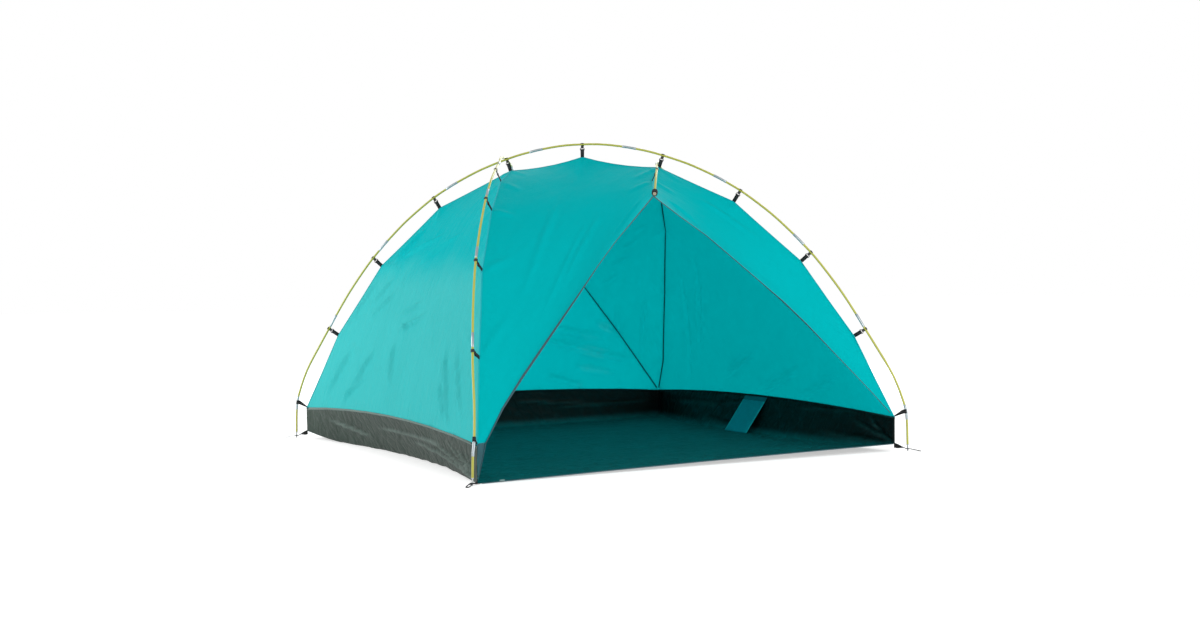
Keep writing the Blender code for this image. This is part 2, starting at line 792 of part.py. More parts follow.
def seam_tapes(grids, seams):
    """The five tapes by name, with the panels' points beside each seam."""
    left, back, right = (list(grids[n][:, 1]) for n in ("left_wall", "back_wall", "right_wall"))
    left_far, back_far, right_far = (list(grids[n][:, -2]) for n in
                                     ("left_wall", "back_wall", "right_wall"))
    gore, front_left, front_right = (grids[n] for n in ("rear_gore", "front_left_panel",
                                                        "front_right_panel"))
    route = seams["main_left"][::-1] + seams["main_top"][1:] + seams["main_right"][1:]
    main_front = (left[:0:-1] + [seams["left_front"][1]] + list(front_left[1][1:-1])
                  + [seams["brow_front"][1]] + list(front_right[1:-1, -2]))
    main_rear = (back[:0:-1] + [seams["left_rear"][1]] + list(gore[1][1:-1])
                 + [seams["brow_rear"][1]] + right[1:])
    return {
        "main": SeamTape(route, main_front, main_rear, tape_end, tape_end),
        "left_front": SeamTape(seams["left_front"], left_far, list(front_left[:-1, 1]),
                               junction_gap, tape_end),
        "left_rear": SeamTape(seams["left_rear"], back_far, list(gore[:, 1]),
                              junction_gap, rear_tape_end),
        "brow_rear": SeamTape(seams["brow_rear"], right_far, list(gore[:, -2]),
                              junction_gap, rear_tape_end),
        "brow_front": SeamTape(seams["brow_front"], list(front_left[:, -2]),
                               list(front_right[:, 1]), junction_gap, brow_tape_end),
    }


def hook_mesh():
    """A moulded hook over a pole: the bar's centre is the origin, Z runs out to the pole."""
    inner = pole_radius + running_gap
    outer = inner + hook_wall
    top = hook_height
    shank = hook_wall / 2
    lip = top + inner
    neck = eye_height + bar_side
    outline = [(shank, neck)]
    for degrees in (-82, -118, -155, -195, -232, -270):
        a = math.radians(degrees)
        outline.append((inner * math.cos(a), top + inner * math.sin(a)))
    for share in (0.5, 1.0):
        t = lip_reach * share
        outline.append((t, math.sqrt(lip**2 - t**2)))
    for share in (1.0, 0.5):
        t = lip_reach * share
        outline.append((t, math.sqrt((lip + hook_wall)**2 - t**2) - hook_wall * share / 4))
    for degrees in (-270, -232, -195, -155, -125):
        a = math.radians(degrees)
        outline.append((outer * math.cos(a), top + outer * math.sin(a)))
    outline.append((-shank, neck))
    crook = bmesh.new()
    half = hook_width / 2
    loft(crook, [[Vector((x, y, z)) for y, z in outline] for x in (-half, half)])

    slot_half = webbing_width / 2 + running_gap
    arm_half = slot_half + arm_width
    half_bar, half_plate = bar_side / 2, bar_side * 0.45
    frame_top = eye_height + bar_side * 1.5
    shoulder = hook_width * 0.45
    outside = [(-arm_half, -half_bar), (arm_half, -half_bar), (arm_half, eye_height),
               (shoulder, frame_top), (-shoulder, frame_top), (-arm_half, eye_height)]
    inside = [(-slot_half, half_bar), (slot_half, half_bar), (slot_half, eye_height * 0.8),
              (slot_half * 0.8, eye_height), (-slot_half * 0.8, eye_height),
              (-slot_half, eye_height * 0.8)]
    frame = bmesh.new()
    loft(frame, [[Vector((x, y, z)) for x, z in loop] for y, loop in
                 ((-half_plate, outside), (half_plate, outside),
                  (half_plate, inside), (-half_plate, inside))], closed=True)
    return union("pole_hook", finish_mesh(crook, "crook"), finish_mesh(frame, "frame"))


def union(name, one, other, solver="EXACT"):
    """The bodies of two meshes joined into one body."""
    first = bpy.data.objects.new(name, one)
    second = bpy.data.objects.new(name + "_addition", other)
    for piece in (first, second):
        bpy.context.collection.objects.link(piece)
    modifier = first.modifiers.new("join", "BOOLEAN")
    modifier.operation = "UNION"
    modifier.object = second
    modifier.solver = solver
    graph = bpy.context.evaluated_depsgraph_get()
    mesh = bpy.data.meshes.new_from_object(first.evaluated_get(graph))
    mesh.name = name
    mesh.materials.clear()
    for piece in (first, second):
        bpy.data.objects.remove(piece)
    return mesh


def hook_places(main, left, brow):
    """Each hook's name, pole, arc length, seam tape and the way that it swings off."""
    places = [("hook_main_apex", main, 0.0, "main", diagonal(0, 1, 0))]
    for side, sign, shares in (("left", -1, main_left_hook_shares),
                               ("right", 1, main_right_hook_shares)):
        for k, share in enumerate(shares, 1):
            places.append((f"hook_main_{side}_{k}", main, sign * section_length * share, "main",
                           diagonal(0, 1, 0)))
    for k, share in enumerate(left_hook_shares, 1):
        arc = section_length * share
        places.append((f"hook_left_front_{k}", left, -arc, "left_front", diagonal(1, 0, 0)))
        places.append((f"hook_left_rear_{k}", left, arc, "left_rear", diagonal(-1, 0, 0)))
    for k, share in enumerate(brow_hook_shares, 1):
        places.append((f"hook_brow_rear_{k}", brow, -section_length * share, "brow_rear",
                       diagonal(-1, 0, 0)))
    places.append(("hook_brow_front", brow, section_length * brow_front_hook_share,
                   "brow_front", diagonal(1, 0, 0)))
    return places


def hook_matrix(pole, arc, toward):
    """The hook's frame: X along the pole, Z out to it, Y against the way it swings off."""
    out, along = outward(pole, arc), pole.direction(arc)
    sideways = np.cross(out, along)
    if np.dot(sideways, toward) > 0:
        along, sideways = -along, -sideways
    return matrix_from(pole.at(arc) - out * hook_height, along, sideways, out)


def matrix_from(place, x_axis, y_axis, z_axis):
    columns = Matrix([Vector(axis) for axis in (x_axis, y_axis, z_axis)]).transposed()
    matrix = columns.to_4x4()
    matrix.translation = Vector(place)
    return matrix


def add_eye_strap(bm, matrix, inner, eye_half, anchors):
    """Webbing looped round local X at the origin, its two ends sewn together at the anchors."""
    outer = inner + webbing_thickness
    turns = [math.radians(a) for a in (-130, -90, -45, 0, 45, 90, 130)]
    around = [(outer * math.sin(a), outer * math.cos(a)) for a in turns]
    hole_turns = turns + [math.radians(a) for a in (155, 170, 190, 205)]
    hole = [(inner * math.sin(a), inner * math.cos(a)) for a in hole_turns]
    ends = sorted((matrix.inverted() @ Vector(a) for a in anchors), key=lambda end: end[0])
    outlines, holes = [], []
    for side, end in zip((-1, 0, 1), ends):
        eye_x = side * eye_half
        flank, tail, neck = 1.25 * webbing_thickness, webbing_thickness, -1.1 * outer
        outline = [Vector((eye_x, y, z)) for y, z in around]
        outline += [Vector((eye_x, flank, neck)), Vector((end.x, end.y + tail, end.z)),
                    Vector((end.x, end.y - tail, end.z)), Vector((eye_x, -flank, neck))]
        outlines.append([matrix @ point for point in outline])
        holes.append([matrix @ Vector((eye_x, y, z)) for y, z in hole])
    loft(bm, outlines + holes[::-1], closed=True)


def build_hooks(main, left, brow, tapes, corners, plastic, webbing):
    """The hooks, and under each pole its seam tapes with a webbing tab for every hook."""
    mesh = hook_mesh()
    tabs = {name: bmesh.new() for name in tapes}
    bar_clearance = bar_side * math.hypot(0.5, 0.45) + running_gap
    for name, pole, arc, tape, toward in hook_places(main, left, brow):
        piece = add_object(name, mesh, plastic)
        piece.matrix_world = hook_matrix(pole, arc, toward)
        anchors = tapes[tape].anchors(seat(pole, arc), webbing_width / 2)
        add_eye_strap(tabs[tape], piece.matrix_world, bar_clearance, webbing_width / 2, anchors)
    for corner, (tape, pole, arc) in corners.items():
        add_end_strap(tabs[tape], tapes[tape], pole, arc, corner)
    for name, tape in tapes.items():
        bm = bmesh.new()
        loft(bm, tape.rings, there_and_back=True)
        title = f"seam_tape_{name}"
        sewn = finish_mesh(tabs[name], title + "_tabs")
        # The exact solver drops the tape under the left pole's rear half
        mesh = union(title, finish_mesh(bm, title), sewn, solver="MANIFOLD")
        add_object(title, mesh, webbing)


def add_end_strap(bm, tape, pole, arc, corner):
    """The tape's own end, carried out and looped round the pole's foot section."""
    place, along = pole.at(arc), pole.direction(arc)
    from_end = tape_end + end_strap_tail_height
    near_start = np.linalg.norm(tape.points[0] - place) < np.linalg.norm(tape.points[-1] - place)
    middle = from_end if near_start else tape.arcs[-1] - from_end
    half = end_strap_tail_height / 2
    wanted = [middle - half, middle, middle + half]
    anchors = tape.read(np.array(tape.ridge), tape.arcs, wanted)
    out = place - anchors[1]
    out = unit(out - along * np.dot(out, along))
    on_ferrule = any(abs(arc - c) < ferrule_length / 2 for c in pole.ferrules)
    inner = hole_radius(ferrule_radius if on_ferrule else pole_radius)
    matrix = matrix_from(place, along, np.cross(out, along), out)
    add_eye_strap(bm, matrix, inner, end_strap_height / 2, anchors)


def build_pole_pieces(poles, glass, metal, elastic):
    for name, pole in poles.items():
        held = name == "brow"
        high = pole.end if held else pole.end - tip_length
        title = f"{name}_pole"
        add_object(title, pole_mesh(title, pole, pole.start + tip_length, high), glass, True)
        inset = tip_length + tip_plug_length + running_gap
        last = pole.end - (running_gap if held else inset)
        cord = bmesh.new()
        places = pole.places(pole.route(pole.start + inset, last))
        add_rod(cord, places, pole.side, cord_diameter / 2, cord_sides)
        title = f"{name}_pole_shock_cord"
        add_object(title, finish_mesh(cord, title), elastic, True)
    feet = {"main_left": (poles["main"], -1), "main_right": (poles["main"], 1),
            "left_front": (poles["left"], -1), "left_rear": (poles["left"], 1),
            "brow_rear": (poles["brow"], -1)}
    for name, (pole, sign) in feet.items():
        add_object(f"foot_tip_{name}", foot_tip_mesh(pole, sign), metal, True)


def foot_tip_mesh(pole, sign):
    """A turned metal foot: a plug in the tube, a shoulder and a nub on the ground."""
    arc = pole.end if sign > 0 else pole.start
    plug = bore_radius - running_gap
    base = tip_length - running_gap
    nub = tip_diameter / 2
    along = -sign * pole.direction(arc - sign * tip_length)
    low = nub * tip_end_share * math.hypot(along[0], along[1]) / along[2]
    steps = [(low, nub * tip_end_share), (low + nub / 2, nub), (base - tip_shoulder, nub),
             (base - tip_shoulder, pole_radius), (base, pole_radius), (base, plug),
             (tip_length + tip_plug_length, plug)]
    first, second = basis(along, pole.side)
    bm = bmesh.new()
    rings = []
    for reach, radius in steps:
        place = pole.at(arc - sign * reach)
        rings.append([place + a * first + b * second for a, b in circle_points(radius)])
    loft(bm, rings)
    return finish_mesh(bm, "foot_tip")


def foot_at(pole, sign):
    """The place of a pole's foot at the height of the eyelets."""
    return pole.at(pole.end - eyelet_height if sign > 0 else pole.start + eyelet_height)


def radial_of(corner):
    place = tub_corner(corner, False)
    return unit(np.array([place[0], place[1], 0]))


def build_ground_strap(corner, feet, webbing):
    """A flat strap from the floor's corner to an eyelet for each pole foot there."""
    radial = radial_of(corner)
    up = np.array([0, 0, 1])
    across = np.cross(up, radial)
    start = tub_corner(corner, False) + radial * (fabric_thickness + running_gap)
    start = start + up * ground_strap_thickness / 2
    reach = np.dot(feet[0], radial)
    spread = rear_foot_spacing / 2 if len(feet) > 1 else 0.0
    end = radial * (reach - eyelet_radius + eyelet_overlap) + up * eyelet_height
    half_start, half_end = ground_strap_width / 2, ground_strap_end_width / 2 + spread
    thick = up * ground_strap_thickness / 2
    strip, eyelets = bmesh.new(), bmesh.new()
    add_flat(strip, start, end, across, half_start, half_end, thick)
    hole = hole_radius(tip_diameter / 2 + eyelet_play)
    rise = up * eyelet_thickness / 2
    for foot in feet:
        add_tube(eyelets, [foot - rise, foot + rise], radial, eyelet_radius, hole)
    name = f"ground_strap_{corner}"
    mesh = union(name, finish_mesh(strip, name), finish_mesh(eyelets, name + "_eyelets"))
    if spread:
        bridge = bmesh.new()
        half = spread - hole
        far = radial * (reach + eyelet_radius) + up * eyelet_height
        near = radial * (reach - eyelet_radius) + up * eyelet_height
        add_flat(bridge, near, far, across, half, half, rise * 0.8)
        mesh = union(name, mesh, finish_mesh(bridge, name + "_bridge"))
    add_object(name, mesh, webbing)


def add_flat(bm, start, end, across, half_start, half_end, thick):
    """A flat bar from start to end, each end with its own width."""
    loft(bm, [[place + across * half - thick, place + across * half + thick,
               place - across * half + thick, place - across * half - thick]
              for place, half in ((start, half_start), (end, half_end))])


def build_peg_loop(corner, feet, webbing):
    """A flat webbing loop for a peg, hinged at the eyelet and lying out on the ground."""
    radial = radial_of(corner)
    across = np.cross(np.array([0, 0, 1]), radial)
    reach = max(a for a, b in circle_points(eyelet_radius)) if len(feet) == 1 else eyelet_radius
    hinge = radial * (np.dot(feet[0], radial) + reach + peg_loop_clearance)
    hinge = hinge + np.array([0, 0, eyelet_height])
    drop = eyelet_height - ground_strap_thickness / 2 - running_gap
    slope = math.asin(drop / peg_loop_length)
    out = radial * math.cos(slope) - np.array([0, 0, math.sin(slope)])
    up = np.cross(out, across)
    root = (peg_loop_length - peg_eye_length) * 0.6
    far = root + peg_eye_length
    wide, slit = peg_loop_width / 2, peg_eye_width / 2
    outside = [(0, -wide * 0.7), (root / 2, -wide), (far, -wide), (peg_loop_length, -wide * 0.6),
               (peg_loop_length, wide * 0.6), (far, wide), (root / 2, wide), (0, wide * 0.7)]
    inside = [(root, -slit * 0.6), (root + slit, -slit), (far - slit, -slit),
              (far, -slit * 0.6), (far, slit * 0.6), (far - slit, slit),
              (root + slit, slit), (root, slit * 0.6)]
    half = ground_strap_thickness / 2
    bm = bmesh.new()
    loft(bm, [[Vector((a, b, c)) for a, b in loop] for c, loop in
              ((-half, outside), (half, outside), (half, inside), (-half, inside))], closed=True)
    name = f"peg_loop_{corner}"
    piece = add_object(name, finish_mesh(bm, name), webbing)
    piece.matrix_world = matrix_from(hinge, out, across, up)


def build_brow(brow, webbing, plastic):
    """The pocket that holds the brow pole's end, and the cap on that end."""
    along = brow.direction(brow.end)
    ends = [brow.at(brow.end) - along * brow_sleeve_length, brow.at(brow.end)]
    out = outward(brow, brow.end)
    half = brow_sleeve_width / 2
    outline = [(half, half * 0.4), (half * 0.4, half), (-half * 0.4, half), (-half, half * 0.4),
               (-half, -half * 0.4), (-half * 0.4, -half), (half * 0.4, -half),
               (half, -half * 0.4)]
    outside = rings_along(ends, out, outline)
    inside = rings_along(ends, out, circle_points(hole_radius(pole_radius)))
    sleeve = bmesh.new()
    loft(sleeve, outside + list(reversed(inside)), closed=True)
    add_object("brow_sleeve", finish_mesh(sleeve, "brow_sleeve"), webbing)
    cap = bmesh.new()
    place = brow.at(brow.end) + along * running_gap
    add_rod(cap, [place, place + along * brow_cap_thickness], out, brow_cap_diameter / 2, 12)
    add_object("brow_pole_cap", finish_mesh(cap, "brow_pole_cap"), plastic, True)


def build_front_hem(webbing):
    """The bound front edge of the floor, between the front corners."""
    points = np.array(tub_edge("fl", "fr", False, front_edge_bow))
    inset_share = 1.5 * binding_width / floor_side
    steps = np.linspace(0, 1, len(points))
    wanted = [inset_share] + list(steps[1:-1]) + [1 - inset_share]
    rings = []
    for t in wanted:
        x, y, z = (np.interp(t, steps, points[:, k]) for k in range(3))
        low, high = z - fabric_thickness / 2, z - fabric_thickness / 2 + binding_thickness
        front, back = y - binding_width, y - seam_gap
        rings.append([(x, front, low), (x, front, high), (x, back, high), (x, back, low)])
    bm = bmesh.new()
    loft(bm, rings)
    add_object("front_hem_binding", finish_mesh(bm, "front_hem_binding"), webbing)


def build_pocket(tub_tops, cloth):
    """A stash pocket hung from the right tub wall's top seam, its foot clear of the wall."""
    bottoms = tub_edge("fr", "br", False, floor_edge_bow)
    height_shares = (0.04, 0.35, 0.66, 0.97)
    columns = []
    for shift in np.linspace(-0.5, 0.5, 5):
        y = pocket_centre + pocket_width * shift
        low, high = (np.array([np.interp(y, [p[1] for p in edge], [p[k] for p in edge])
                               for k in range(3)]) for edge in (bottoms, tub_tops["right"]))
        column = []
        for share in height_shares:
            hang = (height_shares[-1] - share) / (height_shares[-1] - height_shares[0])
            off = fabric_thickness + pocket_gap + pocket_flare * hang
            column.append(low + (high - low) * share - np.array([off, 0, 0]))
        columns.append(column)
    sheet = Sheet("stash_pocket", [columns], [lambda place: np.array([-1, 0, 0])])
    add_object("stash_pocket", sheet_mesh(sheet, shared_normals([sheet])), cloth)


def build_tent():
    for piece in list(bpy.data.objects):
        bpy.data.objects.remove(piece)
    teal = new_material("canopy_teal", (0.0, 0.445, 0.510), 0.55)
    light = new_material("canopy_light_teal", (0.05, 0.600, 0.620), 0.55)
    tub = new_material("tub_grey_green", (0.075, 0.105, 0.090), 0.60)
    grey = new_material("binding_grey", (0.12, 0.16, 0.19), 0.70)
    glass = new_material("pole_yellow", (0.50, 0.50, 0.11), 0.35)
    metal = new_material("tip_silver", (0.55, 0.57, 0.57), 0.30, 1.0)
    black = new_material("webbing_black", (0.012, 0.013, 0.014), 0.75)
    plastic = new_material("hook_black", (0.010, 0.010, 0.011), 0.40)
    elastic = new_material("cord_white", (0.70, 0.70, 0.68), 0.80)
    beige = new_material("cap_beige", (0.52, 0.50, 0.38), 0.50)

    main, left, brow = build_poles()
    grids, seams, tub_tops = build_panels(main, left, brow)
    build_fabric(grids, tub_tops, teal, light, tub, grey)
    build_front_hem(grey)
    build_pocket(tub_tops, teal)
    build_pole_pieces({"main": main, "left": left, "brow": brow}, glass, metal, elastic)
    strap_arc = section_length * end_strap_share
    corners = {"bl": ("main", main, -strap_arc), "fr": ("main", main, strap_arc),
               "fl": ("left_front", left, -strap_arc), "br": ("left_rear", left, strap_arc),
               "br_brow": ("brow_rear", brow, -strap_arc)}
    build_hooks(main, left, brow, seam_tapes(grids, seams), corners, plastic, black)
    feet = {"bl": [foot_at(main, -1)], "fr": [foot_at(main, 1)], "fl": [foot_at(left, -1)],
            "br": [foot_at(left, 1), foot_at(brow, -1)]}
    for corner in corner_lifts:
        build_ground_strap(corner, feet[corner], black)
        build_peg_loop(corner, feet[corner], black)
    build_brow(brow, black, beige)


build_tent()
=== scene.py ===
import json
import math
import bpy
import bmesh
from mathutils import Matrix, Vector, noise
from mathutils.bvhtree import BVHTree
from mathutils.kdtree import KDTree


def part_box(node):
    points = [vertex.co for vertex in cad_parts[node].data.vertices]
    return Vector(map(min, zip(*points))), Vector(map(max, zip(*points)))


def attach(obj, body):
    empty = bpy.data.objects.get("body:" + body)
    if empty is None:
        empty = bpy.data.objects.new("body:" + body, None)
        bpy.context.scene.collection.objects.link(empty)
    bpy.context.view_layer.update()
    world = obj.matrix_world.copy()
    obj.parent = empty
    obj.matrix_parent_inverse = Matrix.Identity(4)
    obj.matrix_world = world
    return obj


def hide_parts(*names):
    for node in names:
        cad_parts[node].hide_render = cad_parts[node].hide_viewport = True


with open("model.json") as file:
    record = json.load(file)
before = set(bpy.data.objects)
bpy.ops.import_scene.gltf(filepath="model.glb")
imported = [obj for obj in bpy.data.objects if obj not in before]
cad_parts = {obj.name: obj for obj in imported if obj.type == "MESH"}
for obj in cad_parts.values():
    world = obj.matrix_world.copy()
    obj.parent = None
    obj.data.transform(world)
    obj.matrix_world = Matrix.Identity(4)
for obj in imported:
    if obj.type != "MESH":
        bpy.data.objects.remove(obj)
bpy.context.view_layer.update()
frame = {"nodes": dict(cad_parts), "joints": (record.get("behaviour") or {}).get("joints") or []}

# Camera and studio.
# The camera stands at hip height, seven metres off, in front and to the left. A white
# floor lies under an even sky, with soft lamps at the left, front, doorway and rear.
picture_width, picture_height = 1200, 630
floor_size, floor_drop = 30.0, 0.0006
sky_strength, seen_sky_strength = 0.68, 1.0
scene = bpy.context.scene
scene.view_settings.view_transform = "Standard"

camera = bpy.data.objects.new("camera", bpy.data.cameras.new("camera"))
camera.data.lens = 47.256
camera.data.sensor_width = 36.0
camera.data.clip_end = 60.0
camera_place = (-3.4483, -6.398, 0.7876)
camera_right, camera_up = (0.87523, -0.48362, -0.00939), (0.02098, 0.01857, 0.99961)
camera_back = (-0.48325, -0.87508, 0.0264)
turn = Matrix([camera_right, camera_up, camera_back]).transposed().to_4x4()
turn.translation = camera_place
camera.matrix_world = turn
bpy.context.collection.objects.link(camera)
scene.camera = camera


def sight_line(across, down):
    """The way that the camera looks through this place in its picture."""
    reach = camera.data.lens / camera.data.sensor_width * picture_width
    right, up, back = (Vector(axis) for axis in (camera_right, camera_up, camera_back))
    off_centre = right * (across - picture_width / 2) - up * (down - picture_height / 2)
    return (off_centre - back * reach).normalized()


class Value:
    """A shader socket that can be used in sums."""

    def __init__(self, tree, socket):
        self.tree, self.socket = tree, socket

    def sum(self, operation, other=None, flipped=False):
        maths = self.tree.nodes.new("ShaderNodeMath")
        maths.operation = operation
        pair = [other, self] if flipped else [self, other]
        for slot, item in zip(maths.inputs, pair):
            if isinstance(item, Value):
                self.tree.links.new(item.socket, slot)
            elif item is not None:
                slot.default_value = item
        return Value(self.tree, maths.outputs[0])

    def __add__(self, other):
        return self.sum("ADD", other)

    def __radd__(self, other):
        return self.sum("ADD", other, True)

    def __sub__(self, other):
        return self.sum("SUBTRACT", other)

    def __rsub__(self, other):
        return self.sum("SUBTRACT", other, True)

    def __mul__(self, other):
        return self.sum("MULTIPLY", other)

    def __rmul__(self, other):
        return self.sum("MULTIPLY", other, True)


class Finish:
    """A material, or the sky, under construction, with one method for every node in it."""

    def __init__(self, name, kind=bpy.data.materials):
        self.material = kind.new(name)
        self.material.use_nodes = True
        self.tree = self.material.node_tree
        self.output = next(node for node in self.tree.nodes if node.type.startswith("OUTPUT"))
        self.shader = self.output.inputs["Surface"].links[0].from_node

    def fill(self, slot, value):
        if isinstance(value, Value):
            self.tree.links.new(value.socket, slot)
        else:
            slot.default_value = (*value, 1.0) if slot.type == "RGBA" else value

    def node(self, kind, sockets, output=0, **settings):
        """One node: its settings first, then the values or links of its sockets."""
        made = self.tree.nodes.new("ShaderNode" + kind)
        for key, value in settings.items():
            setattr(made, key, value)
        for key, value in sockets.items():
            self.fill(made.inputs[key], value)
        return Value(self.tree, made.outputs[output])

    def mix(self, share, first, second):
        return self.node("Mix", {0: share, 6: first, 7: second}, output=2, data_type="RGBA")

    def between(self, value, low, high):
        """0 below low, 1 above high and a smooth change from one to the other."""
        return self.node("MapRange", {"Value": value, "From Min": low, "From Max": high},
                         interpolation_type="SMOOTHSTEP")

    def place(self):
        return self.node("TexCoord", {}, output="Object")

    def set(self, **sockets):
        for key, value in sockets.items():
            self.fill(self.shader.inputs[key.replace("_", " ")], value)
        return self.material

    def show(self, surface):
        self.tree.links.new(surface.socket, self.output.inputs["Surface"])
        return self.material


def finished_mesh(bm, name):
    """The bmesh as a mesh of its own."""
    mesh = bpy.data.meshes.new(name)
    bm.to_mesh(mesh)
    bm.free()
    return mesh


def add_piece(name, mesh, *materials, sharp_angle=None):
    """Puts a mesh in the scene, shaded smooth but for edges past an angle in degrees."""
    for material in materials:
        mesh.materials.append(material)
    piece = bpy.data.objects.new(name, mesh)
    bpy.context.collection.objects.link(piece)
    mesh.shade_smooth()
    if sharp_angle:
        mesh.set_sharp_from_angle(angle=math.radians(sharp_angle))
    return piece


sweep = Finish("studio_white")
seen = sweep.node("LightPath", {}, output="Is Camera Ray")
mirrored = sweep.node("LightPath", {}, output="Is Glossy Ray")
through = sweep.node("LightPath", {}, output="Is Transmission Ray")
sweep.set(Base_Color=(0.80, 0.80, 0.80), Roughness=0.9, Specular_IOR_Level=0.0)
plain = Value(sweep.tree, sweep.shader.outputs[0])
glow = sweep.node("Emission", {"Color": (1.0, 1.0, 1.0), "Strength": 0.50})
lit = sweep.node("AddShader", {0: plain, 1: glow})
sweep.show(sweep.node("MixShader", {0: seen.sum("MAXIMUM", mirrored).sum("MAXIMUM", through),
                                    1: plain, 2: lit}))
bm = bmesh.new()
bmesh.ops.create_grid(bm, x_segments=1, y_segments=1, size=floor_size)
bmesh.ops.translate(bm, vec=(0, 0, -floor_drop), verts=bm.verts)
studio_floor = add_piece("studio_floor", finished_mesh(bm, "studio_floor"), sweep.material)

sky = Finish("sky", bpy.data.worlds)
seen = sky.node("LightPath", {}, output="Is Camera Ray")
through = sky.node("LightPath", {}, output="Is Transmission Ray")
backdrop = seen.sum("MAXIMUM", through)
scene.world = sky.set(Color=(1.0, 1.0, 1.0),
                      Strength=backdrop * (seen_sky_strength - sky_strength) + sky_strength)


def soft_lamp(name, size, power, place, target):
    """A square lamp, unseen by the camera, that points at its target."""
    lamp = bpy.data.lights.new(name, "AREA")
    lamp.size, lamp.energy = size, power
    piece = bpy.data.objects.new(name, lamp)
    piece.location = place
    piece.rotation_euler = (Vector(target) - Vector(place)).to_track_quat("-Z", "Y").to_euler()
    piece.visible_camera = False
    bpy.context.collection.objects.link(piece)


soft_lamp("left_lamp", 1.6, 125.0, (-4.6, 2.6, 1.7), (-0.6, -0.2, 0.4))
soft_lamp("front_lamp", 3.5, 60.0, (-1.0, -5.5, 4.0), (0, 0, 0.6))
soft_lamp("doorway_lamp", 2.0, 60.0, (0.9, -4.6, 0.9), (0.1, 0.8, 0.5))
soft_lamp("rear_lamp", 4.0, 170.0, (3.8, 4.2, 3.0), (0.2, 0.2, 0.5))

# Poles.
# Three arches of yellow glass fibre tube in sections, pushed together in silver ferrules
# over a shock cord, with a turned metal tip at every foot.
pole_radius, ferrule_radius = 0.00475, 0.00565
ferrule_round = 0.0008
ring_reach = 0.016
bend_steps = 4


def ring_places(node, reach):
    """Each ring of a CAD tube as its centre and its largest radius, from a low end on."""
    loose = {tuple(round(c, 6) for c in v.co) for v in frame["nodes"][node].data.vertices}
    loose = [Vector(place) for place in sorted(loose)]
    rings = []
    while loose:
        first = loose[0]
        ring = [place for place in loose if (place - first).length < reach]
        loose = [place for place in loose if (place - first).length >= reach]
        centre = sum(ring, Vector()) / len(ring)
        rings.append((centre, max((place - centre).length for place in ring)))
    return walk(rings, lambda ring: ring[0])


def walk(items, place_of):
    """The items in the order in which they are met from the lowest one on."""
    items = list(items)
    order = [min(items, key=lambda item: place_of(item).z)]
    items.remove(order[0])
    while items:
        here = place_of(order[-1])
        order.append(min(items, key=lambda item: (place_of(item) - here).length))
        items.remove(order[-1])
    return order


def as_evaluated(piece):
    """The mesh that an object shows, with its modifiers applied; the object is removed."""
    graph = bpy.context.evaluated_depsgraph_get()
    mesh = bpy.data.meshes.new_from_object(piece.evaluated_get(graph))
    bpy.data.objects.remove(piece)
    return mesh


def tube(name, route, radius, material, end_round=0.0):
    """A round tube along a route, its ends rounded off if asked."""
    points = [(Vector(place), 1.0) for place in route]
    if end_round:
        for order in (1, -1):
            points = points[::order]
            end, after = points[0][0], points[1][0]
            shoulder = end + (after - end).normalized() * end_round
            points = [(end, 1 - end_round / radius), (shoulder, 1.0), *points[1:]]
            points = points[::order]
    curve = bpy.data.curves.new(name, "CURVE")
    curve.dimensions = "3D"
    curve.bevel_depth = radius
    curve.bevel_resolution = 4
    curve.use_fill_caps = True
    spline = curve.splines.new("POLY")
    spline.points.add(len(points) - 1)
    for point, (place, share) in zip(spline.points, points):
        point.co, point.radius = (*place, 1.0), share
    holder = bpy.data.objects.new(name, curve)
    bpy.context.collection.objects.link(holder)
    mesh = as_evaluated(holder)
    mesh.name = name
    mesh.materials.clear()
    return add_piece(name, mesh, material, sharp_angle=50)


glass_fibre = Finish("pole_yellow_glass_fibre")
place = glass_fibre.place()
fibres = glass_fibre.node("TexNoise", {"Vector": place, "Scale": 120.0, "Detail": 5.0})
streaks = glass_fibre.node("TexNoise", {"Vector": place, "Scale": 9.0, "Detail": 3.0})
tint = glass_fibre.mix(fibres, (0.48, 0.47, 0.055), (0.39, 0.38, 0.035))
tint = glass_fibre.mix(streaks * 0.5, tint, (0.52, 0.52, 0.10))
grain = glass_fibre.node("Bump", {"Height": fibres * 0.0003, "Strength": 0.5, "Distance": 1.0})
pole_yellow = glass_fibre.set(Base_Color=tint, Roughness=fibres * 0.15 + 0.32, Normal=grain,
                              Coat_Weight=0.2, Coat_Roughness=0.25)


def metal(name, colour, dark, roughness):
    """Turned metal with fine rubbed marks and duller stains."""
    turned = Finish(name)
    place = turned.place()
    rubbed = turned.node("TexNoise", {"Vector": place, "Scale": 260.0, "Detail": 4.0})
    stains = turned.node("TexNoise", {"Vector": place, "Scale": 35.0, "Detail": 4.0})
    tint = turned.mix(stains * 0.6, colour, dark)
    grain = turned.node("Bump", {"Height": rubbed * 0.0002, "Strength": 0.4, "Distance": 1.0})
    return turned.set(Base_Color=tint, Metallic=1.0, Roughness=rubbed * 0.15 + roughness,
                      Normal=grain)


ferrule_silver = metal("ferrule_silver", (0.48, 0.53, 0.55), (0.32, 0.37, 0.39), 0.38)


def bent(route):
    """The route with more points, on the curve that a springy tube takes through it."""
    ends = [2 * route[0] - route[1], *route, 2 * route[-1] - route[-2]]
    curve = []
    for a, b, c, d in zip(ends, ends[1:], ends[2:], ends[3:]):
        for k in range(bend_steps):
            t = k / bend_steps
            curve.append(0.5 * ((2 * b) + (c - a) * t + (2 * a - 5 * b + 4 * c - d) * t * t
                                + (3 * b - a - 3 * c + d) * t ** 3))
    return curve + [route[-1]]


